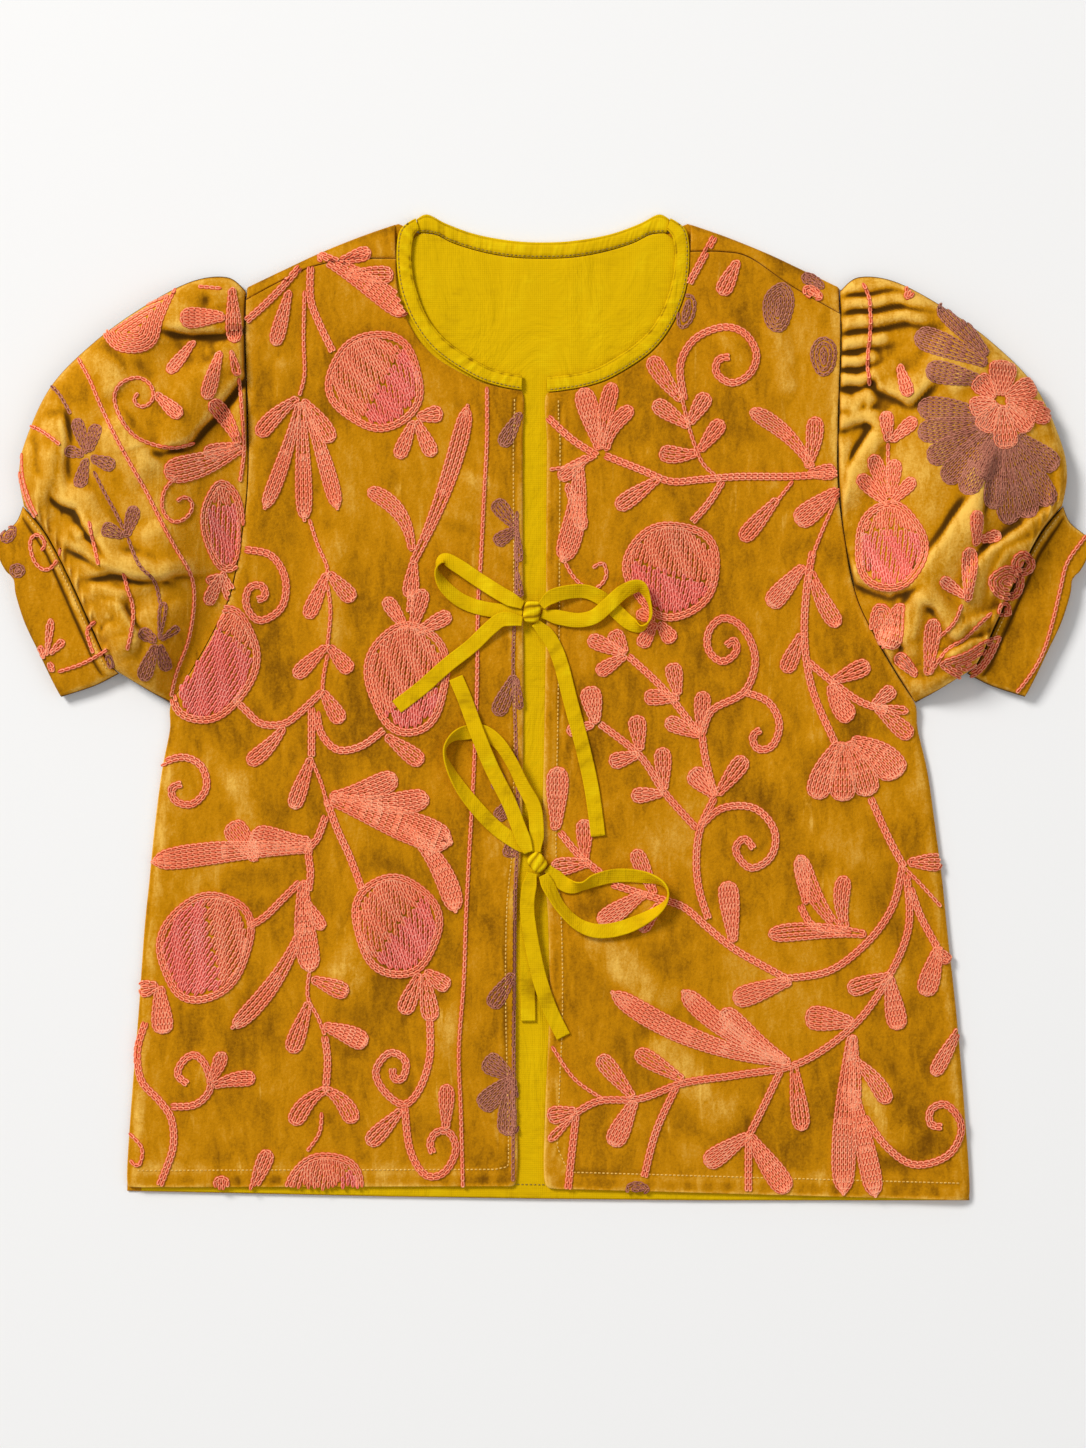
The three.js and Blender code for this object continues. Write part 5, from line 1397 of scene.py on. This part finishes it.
VINES = [
    # rows, then points u, v
    [2, 300, 268, 281, 290, 262, 309, 247, 322], [2, 311, 268, 311, 300, 320, 325, 333, 352],
    [1, 305, 292, 304, 340, 305, 375, 300, 396], [1, 310, 520, 318, 545, 327, 565, 328, 575],
    [1, 487, 388, 487, 440, 484, 500, 481, 560, 478, 610, 477, 690, 474, 770, 469, 860, 466, 920, 464, 980,
     459, 1050, 461, 1110, 463, 1186],
    [2, 412, 590, 410, 612], [1, 328, 585, 331, 612, 328, 645], [1, 328, 655, 324, 676, 323, 690],
    [2, 322, 692, 300, 713, 284, 724, 262, 724, 248, 712, 236, 700], [2, 312, 708, 312, 730, 312, 756],
    [2, 317, 712, 322, 734, 338, 750, 362, 746, 384, 730], [1, 313, 762, 322, 784, 328, 806],
    [2, 327, 800, 338, 830, 350, 856, 362, 888], [2, 326, 816, 318, 838, 309, 850, 311, 872, 309, 890],
    [2, 300, 882, 282, 900, 266, 916, 250, 926], [1, 311, 966, 308, 985, 309, 1000, 318, 1016, 325, 1034],
    [2, 325, 1036, 328, 1060, 326, 1090], [1, 322, 1112, 320, 1132, 308, 1150],
    [2, 146, 1022, 138, 1050, 142, 1080, 160, 1100, 172, 1118, 174, 1145, 166, 1170, 158, 1190],
    [2, 172, 1106, 196, 1104, 211, 1088, 207, 1066, 196, 1054, 184, 1060, 178, 1074, 188, 1083],
    [1, 130, 1133, 143, 1148, 139, 1166, 131, 1160],
    [2, 430, 1020, 430, 1056, 420, 1088, 404, 1104, 384, 1090, 376, 1070, 390, 1052, 406, 1060, 403, 1078,
     394, 1078, 393, 1068],
    [2, 405, 1106, 410, 1148, 425, 1174, 444, 1172, 456, 1150, 450, 1132, 437, 1131, 430, 1142, 433, 1152],
    [2, 156, 766, 182, 757, 202, 766, 207, 788, 193, 804, 176, 801, 172, 788, 182, 784],
    [2, 246, 550, 272, 556, 286, 580, 282, 608, 260, 621, 247, 606, 250, 588, 263, 586, 266, 597, 258, 600],
    [2, 548, 418, 572, 440, 597, 456],
    [2, 605, 456, 640, 470, 670, 482, 700, 480, 740, 477, 790, 477, 836, 474],
    [1, 594, 458, 575, 466, 550, 470], [1, 720, 480, 704, 466, 696, 450, 688, 425, 682, 400],
    [2, 684, 400, 680, 366, 694, 340, 722, 328, 744, 334, 756, 354, 750, 374, 732, 384, 716, 374, 718, 360,
     729, 358],
    [2, 714, 238, 702, 260, 689, 284], [2, 722, 482, 708, 504, 692, 522], [1, 792, 482, 778, 500],
    [1, 836, 498, 822, 530, 812, 556], [2, 812, 552, 806, 590, 804, 640, 812, 690, 834, 742],
    [1, 560, 552, 574, 578, 592, 590, 606, 578, 603, 563, 593, 568], [2, 628, 656, 664, 690, 700, 736],
    [2, 702, 736, 705, 758, 714, 795],
    [2, 702, 734, 712, 710, 744, 692, 755, 660, 744, 630, 724, 618, 709, 630, 708, 650, 722, 662, 736, 652,
     734, 640, 726, 646],
    [2, 744, 692, 768, 702, 779, 724, 772, 746, 757, 749, 752, 736, 760, 730],
    [2, 714, 798, 700, 828, 696, 860, 699, 890, 708, 918], [2, 696, 828, 664, 792, 640, 756, 600, 724],
    [2, 700, 826, 722, 808, 754, 808, 774, 830, 771, 856, 750, 868, 735, 850, 744, 838, 753, 848],
    [2, 808, 662, 832, 682, 860, 702, 886, 710], [2, 870, 798, 888, 838, 903, 866],
    [2, 560, 832, 580, 856, 610, 880], [2, 612, 884, 650, 896, 682, 906, 706, 926, 736, 950, 786, 978],
    [2, 786, 978, 830, 970, 868, 940, 892, 906, 902, 866],
    [2, 906, 874, 908, 926, 890, 972, 856, 1022, 800, 1062, 740, 1074, 684, 1082, 640, 1098, 600, 1100, 576,
     1112],
    [2, 910, 888, 920, 916, 936, 946], [1, 552, 1046, 574, 1078, 602, 1098],
    [2, 780, 1070, 764, 1104, 748, 1136], [2, 748, 1140, 748, 1190], [2, 676, 1086, 656, 1130, 644, 1176],
    [2, 576, 1114, 572, 1150, 568, 1188],
    [2, 864, 1116, 886, 1146, 914, 1164, 948, 1154, 961, 1126, 946, 1104, 930, 1109, 930, 1124, 941, 1126],
    [1, 902, 866, 920, 884, 940, 906], [2, 800, 905, 812, 925, 842, 934],
]
MAUVE_VINES = [
    [1, 517, 512, 517, 540, 516, 600, 513, 660, 516, 740, 518, 820, 515, 900, 514, 1000, 513, 1180],
]
# Fruits. Columns: centre u, v, half width, half height, turn, split, lean.
FRUITS = [
    [376, 382, 49, 51, 20, -0.2, 0.8], [408, 678, 43, 58, 0, -0.5, 0.4], [397, 925, 45, 53, 12, -0.1, 0.8],
    [206, 946, 47, 58, -24, 0.2, -1.3], [215, 666, 42, 62, -22, 0.6, -0.3],
    [672, 570, 49, 50, 0, -0.1, -0.3], [326, 1192, 40, 42, 0, -0.2, 1.2],
]
# Small round forms. Columns: centre u, v, half width, half height, turn, if any.
MAUVE_ROUNDS = [
    [778, 308, 16, 26, -8], [823, 357, 14, 21], [686, 312, 10, 20, -14], [637, 1188, 13, 8],
    [812, 282, 14, 7, -30],
]
CORAL_ROUNDS = [[812, 294, 12, 7, -30]]

# %% [markdown]
# The sleeves carry the same kinds of forms, broken up by the folds. Some are cut off by a seam, as the
# embroidered velvet was cut after it was stitched, so a few are drawn as free outlines.

# %% Sleeve motif tables
SLEEVE_CORAL_LEAVES = [
    # wearer's right sleeve and cuff
    [226, 318, 182, 321, 22], [233, 288, 236, 346, 17], [196, 342, 170, 376, 13],
    [222, 352, 208, 403, 16], [232, 350, 240, 380, 12], [158, 396, 185, 420, 16],
    [243, 447, 166, 475, 28, 4], [240, 446, 212, 402, 18, -3], [242, 446, 204, 456, 18],
    [222, 574, 208, 606, 14], [222, 572, 234, 602, 14], [222, 574, 206, 584, 12],
    [48, 658, 53, 617, 10], [50, 656, 67, 639, 11], [46, 660, 41, 644, 8], [50, 660, 55, 674, 10],
    # wearer's left sleeve
    [905, 302, 913, 283, 13], [897, 366, 906, 400, 14], [886, 444, 884, 412, 15], [888, 444, 914, 420, 15],
    [886, 506, 856, 476, 16], [887, 500, 870, 455, 17], [889, 500, 893, 460, 16], [890, 504, 912, 480, 14],
    [972, 548, 972, 512, 14], [974, 542, 998, 536, 13], [964, 604, 966, 548, 17], [962, 598, 936, 580, 13],
    [925, 676, 931, 618, 18], [916, 676, 894, 654, 15], [1002, 602, 1002, 618, 20],
    [898, 604, 886, 650, 24], [997, 398, 1001, 362, 30], [992, 400, 972, 380, 24], [992, 404, 966, 412, 22],
    [994, 406, 978, 434, 24], [998, 408, 1003, 452, 26], [1002, 408, 1028, 432, 22],
    [1002, 404, 1050, 418, 24], [1002, 400, 1034, 386, 24],
]
SLEEVE_MAUVE_LEAVES = [
    [91, 456, 79, 420, 14], [93, 455, 101, 426, 15], [94, 460, 120, 469, 16], [90, 460, 83, 491, 15],
    [88, 457, 68, 452, 13], [128, 538, 106, 529, 17], [130, 540, 139, 507, 15],
    [162, 642, 167, 600, 12], [160, 642, 142, 631, 15], [162, 642, 183, 626, 11],
    [159, 644, 144, 682, 17], [162, 645, 169, 672, 14],
    [984, 358, 938, 304, 24], [984, 366, 912, 336, 27], [980, 384, 922, 372, 24],
    [985, 420, 914, 411, 25, -3], [985, 424, 914, 436, 25], [986, 427, 924, 463, 25],
    [988, 430, 940, 485, 25], [992, 436, 960, 497, 24], [994, 440, 978, 482, 22],
    [996, 444, 988, 512, 24], [1000, 444, 1006, 527, 27], [1004, 444, 1028, 521, 26],
    [1010, 442, 1049, 508, 26], [1014, 438, 1055, 470, 24],
]
SLEEVE_VINES = [
    [1, 74, 350, 92, 380, 105, 410, 120, 440, 132, 462, 150, 494, 164, 522, 180, 552, 193, 575, 196, 602,
     190, 640, 178, 672, 172, 696],
    [1, 196, 445, 178, 450, 160, 448, 139, 439, 124, 420, 118, 400, 125, 386, 141, 380, 154, 388, 156, 402,
     146, 410, 137, 404, 141, 396],
    [1, 27, 425, 45, 433, 64, 447], [1, 222, 290, 200, 288], [1, 240, 380, 243, 410, 245, 450, 241, 482],
    [1, 180, 478, 168, 492, 166, 512, 177, 524, 190, 518, 195, 506, 188, 498, 180, 503],
    [2, 22, 455, 24, 480, 32, 505, 39, 517], [1, 94, 524, 98, 545, 103, 566],
    [1, 128, 575, 131, 590, 136, 606, 136, 628, 131, 650],
    [1, 43, 551, 47, 547, 45, 539, 38, 535, 32, 541, 33, 553, 38, 565, 48, 571, 58, 563, 64, 550],
    [1, 98, 622, 89, 630, 91, 642, 95, 653], [1, 60, 672, 84, 664, 110, 650],
    [1, 862, 285, 868, 300, 869, 330, 866, 362, 868, 386], [1, 886, 445, 886, 478],
    [1, 1085, 536, 1066, 562, 1059, 588, 1052, 618, 1044, 646, 1036, 664, 1024, 682, 1012, 697],
    [1, 988, 614, 975, 626, 960, 640, 942, 652, 928, 674], [1, 958, 606, 950, 624, 934, 640],
]
SLEEVE_MAUVE_VINES = [
    [1, 49, 384, 62, 396, 74, 416], [1, 98, 474, 108, 494, 118, 512, 127, 530],
    [1, 132, 540, 138, 556, 146, 570, 158, 582, 163, 604],
]
SLEEVE_FRUITS = [[225, 527, 22, 47, 4, 0.5, 0], [888, 548, 36, 46, 0, 0.35, 0]]
SLEEVE_CORAL_ROUNDS = [
    [1004, 584, 20, 18], [1020, 565, 14, 13],
    [880, 626, 12, 24],
]
SLEEVE_MAUVE_ROUNDS = [[10, 535, 8, 11, -40], [19, 571, 9, 8], [112, 662, 6, 11, 14]]
SLEEVE_OUTLINES = [
    [100, 330, 118, 318, 140, 304, 160, 295, 178, 288, 172, 306, 165, 325, 160, 344, 148, 354, 130, 356,
     114, 350],
    [1002, 634, 982, 640, 962, 652, 935, 664, 958, 680, 976, 676, 990, 660],
]

# %% Lay the embroidery
YARN_LIFT = {"coral": 0.2, "pink": 0.2, "mauve": -0.2}
rows_of = {(part, yarn): [] for part in ("front", "sleeve") for yarn in YARNS}
PATTERN = {
    ("front", "coral"): {leaf: CORAL_LEAVES, vine: VINES, filled_round: CORAL_ROUNDS},
    ("front", "mauve"): {leaf: MAUVE_LEAVES, vine: MAUVE_VINES, filled_round: MAUVE_ROUNDS},
    ("sleeve", "coral"): {leaf: SLEEVE_CORAL_LEAVES, vine: SLEEVE_VINES, filled_round: SLEEVE_CORAL_ROUNDS,
                          filled_outline: SLEEVE_OUTLINES},
    ("sleeve", "mauve"): {leaf: SLEEVE_MAUVE_LEAVES, vine: SLEEVE_MAUVE_VINES,
                          filled_round: SLEEVE_MAUVE_ROUNDS},
}
for key, tables in PATTERN.items():
    for form, table in tables.items():
        for row in table:
            rows_of[key] += form(*row)
for part, table in (("front", FRUITS), ("sleeve", SLEEVE_FRUITS)):
    for row in table:
        for yarn, rows in fruit(*row).items():
            rows_of[part, yarn] += rows

for (part, yarn), rows in rows_of.items():
    stepped = [steps_along(row, LINK_PITCH) for row in rows]
    for side, sign in SIGN.items():
        chosen = [(m[m[:, 0] * sign > 0], d[m[:, 0] * sign > 0]) for m, d in stepped]
        laid = lay(chosen, trees[f"{part}_{side}"], YARN_LIFT[yarn])
        name = f"chain_stitch_{yarn}_{part}_{side}"
        links_mesh(name, laid, LINK, LINK_WIDE, LINK_HEIGHT, YARNS[yarn])
        print(name, "links:", len(laid[0]))

# %% [markdown]
# ## Sewing
# The fronts are topstitched beside the hem and the front edge. The binding is stitched through beside its
# sewn edge, the lining's hem is sewn with a dark thread, and the cuffs have a line beside their seam. Each
# stitch is a short bar of thread, laid on the cloth in the same way as a link.

# %% Stitch lines
FAR_UP = (0, 3000)
STITCH_LIFT = 0.12


def along_edge(curve, inset, centre):
    """A line beside an edge curve, moved by inset towards a centre."""
    line = curve(np.linspace(0.01, 0.99, 60))
    return line + unit(np.array(centre) - line) * inset


stitch_lines = {"binding": [], "lining": [along_edge(even_curve(BACK_HEM), LINING_HEM, FAR_UP)]}
for side, sign in SIGN.items():
    stitch_lines[f"front_{side}"] = [front_stitch_line(side)]
    stitch_lines[f"sleeve_{side}"] = [cuff_plan(np.full(40, 0.07), np.linspace(0.05, 0.95, 40)) * [sign, 1]]
    edge = stretch(neck_edge(side, NECK_OUTER, 0))
    stitch_lines["binding"].append(along_edge(edge, 1.3, (0, NECK_CENTRE_Y - 20)))
stitch_lines["binding"].append(along_edge(whole(BACK_NECK_LOW), 1.2, FAR_UP))
for part, lines in stitch_lines.items():
    on_cotton = part in ("binding", "lining")
    thread, slot = (olive_thread, "lime_cotton") if on_cotton else (ochre_thread, "velvet")
    laid = lay([steps_along(line, STITCH_PITCH) for line in lines], trees[part], STITCH_LIFT)
    links_mesh(f"stitches_{part}", laid, BAR, STITCH_WIDE, STITCH_HEIGHT, thread)
    print(f"stitches of {part}:", len(laid[0]))

# %% [markdown]
# ## Camera, light and floor
# The photograph looks straight down, with a soft light from the upper left. The camera stands three metres
# up with a long lens, so the sleeves don't lean outwards.

# %% Stage
CAMERA_HEIGHT = 3.0
SENSOR = 36.0
FLOOR_HALF, FLOOR_DROP = 4.0, 0.0003
camera = bpy.data.objects.new("camera", bpy.data.cameras.new("camera"))
camera.data.sensor_width = SENSOR
camera.data.lens = SENSOR * CAMERA_HEIGHT / (PHOTO_HIGH * PIXEL * MM)
camera.location = (0, (MIDDLE_V - PHOTO_HIGH / 2) * PIXEL * MM, CAMERA_HEIGHT)
bpy.context.collection.objects.link(camera)
bpy.context.scene.camera = camera

white, _, _ = new_material("floor_white", {"Base Color": (0.86, 0.86, 0.86, 1), "Roughness": 0.9})
floor_mesh = bpy.data.meshes.new("floor")
corners = [(x * FLOOR_HALF, y * FLOOR_HALF, -FLOOR_DROP) for x, y in ((-1, -1), (1, -1), (1, 1), (-1, 1))]
floor_mesh.from_pydata(corners, [], [[0, 1, 2, 3]])
floor_mesh.materials.append(white)
floor = bpy.data.objects.new("floor", floor_mesh)
bpy.context.collection.objects.link(floor)


def area_light(name, place, size, power, colour):
    lamp = bpy.data.lights.new(name, "AREA")
    lamp.size, lamp.energy, lamp.color = size, power, colour
    made = bpy.data.objects.new(name, lamp)
    made.location = place
    made.rotation_euler = (-Vector(place)).to_track_quat("-Z", "Y").to_euler()
    bpy.context.collection.objects.link(made)


area_light("key", place=(-4.5, 4.2, 5.1), size=2.4, power=590, colour=(1, 0.985, 0.96))
area_light("fill", place=(1.6, -0.8, 2.2), size=2.0, power=9, colour=(0.97, 0.985, 1))
world = bpy.data.worlds.new("world")
world.use_nodes = True
background = world.node_tree.nodes["Background"]
background.inputs["Color"].default_value = (1, 1, 1, 1)
background.inputs["Strength"].default_value = 0.4
bpy.context.scene.world = world
bpy.context.scene.view_settings.view_transform = "Standard"
print("lens in mm:", round(camera.data.lens, 1))

# %% [markdown]
# ## What each cloth was before it was sewn
# Fronts, back and lining lie as they were cut. A sleeve and a cuff are tubes, so their cut goes all
# round, and a puff sleeve's cut is longer than it looks, because its gathers take cloth up. The code
# below only looks up, for each tie, its knot, the cloth under it and its length, and uses none of them.


for name, (made, length) in ties.items():
    knotted = [knots["knot_" + name.split("_")[1]]] if name in ("loop_upper_left", "loop_lower_left") else []
    under = lining if name == "tail_lower_gap" else fronts["left" if "left" in name else "right"]
    length * MM
print("sheets declared:", 3 + 5 * len(SIGN) + len(ties))
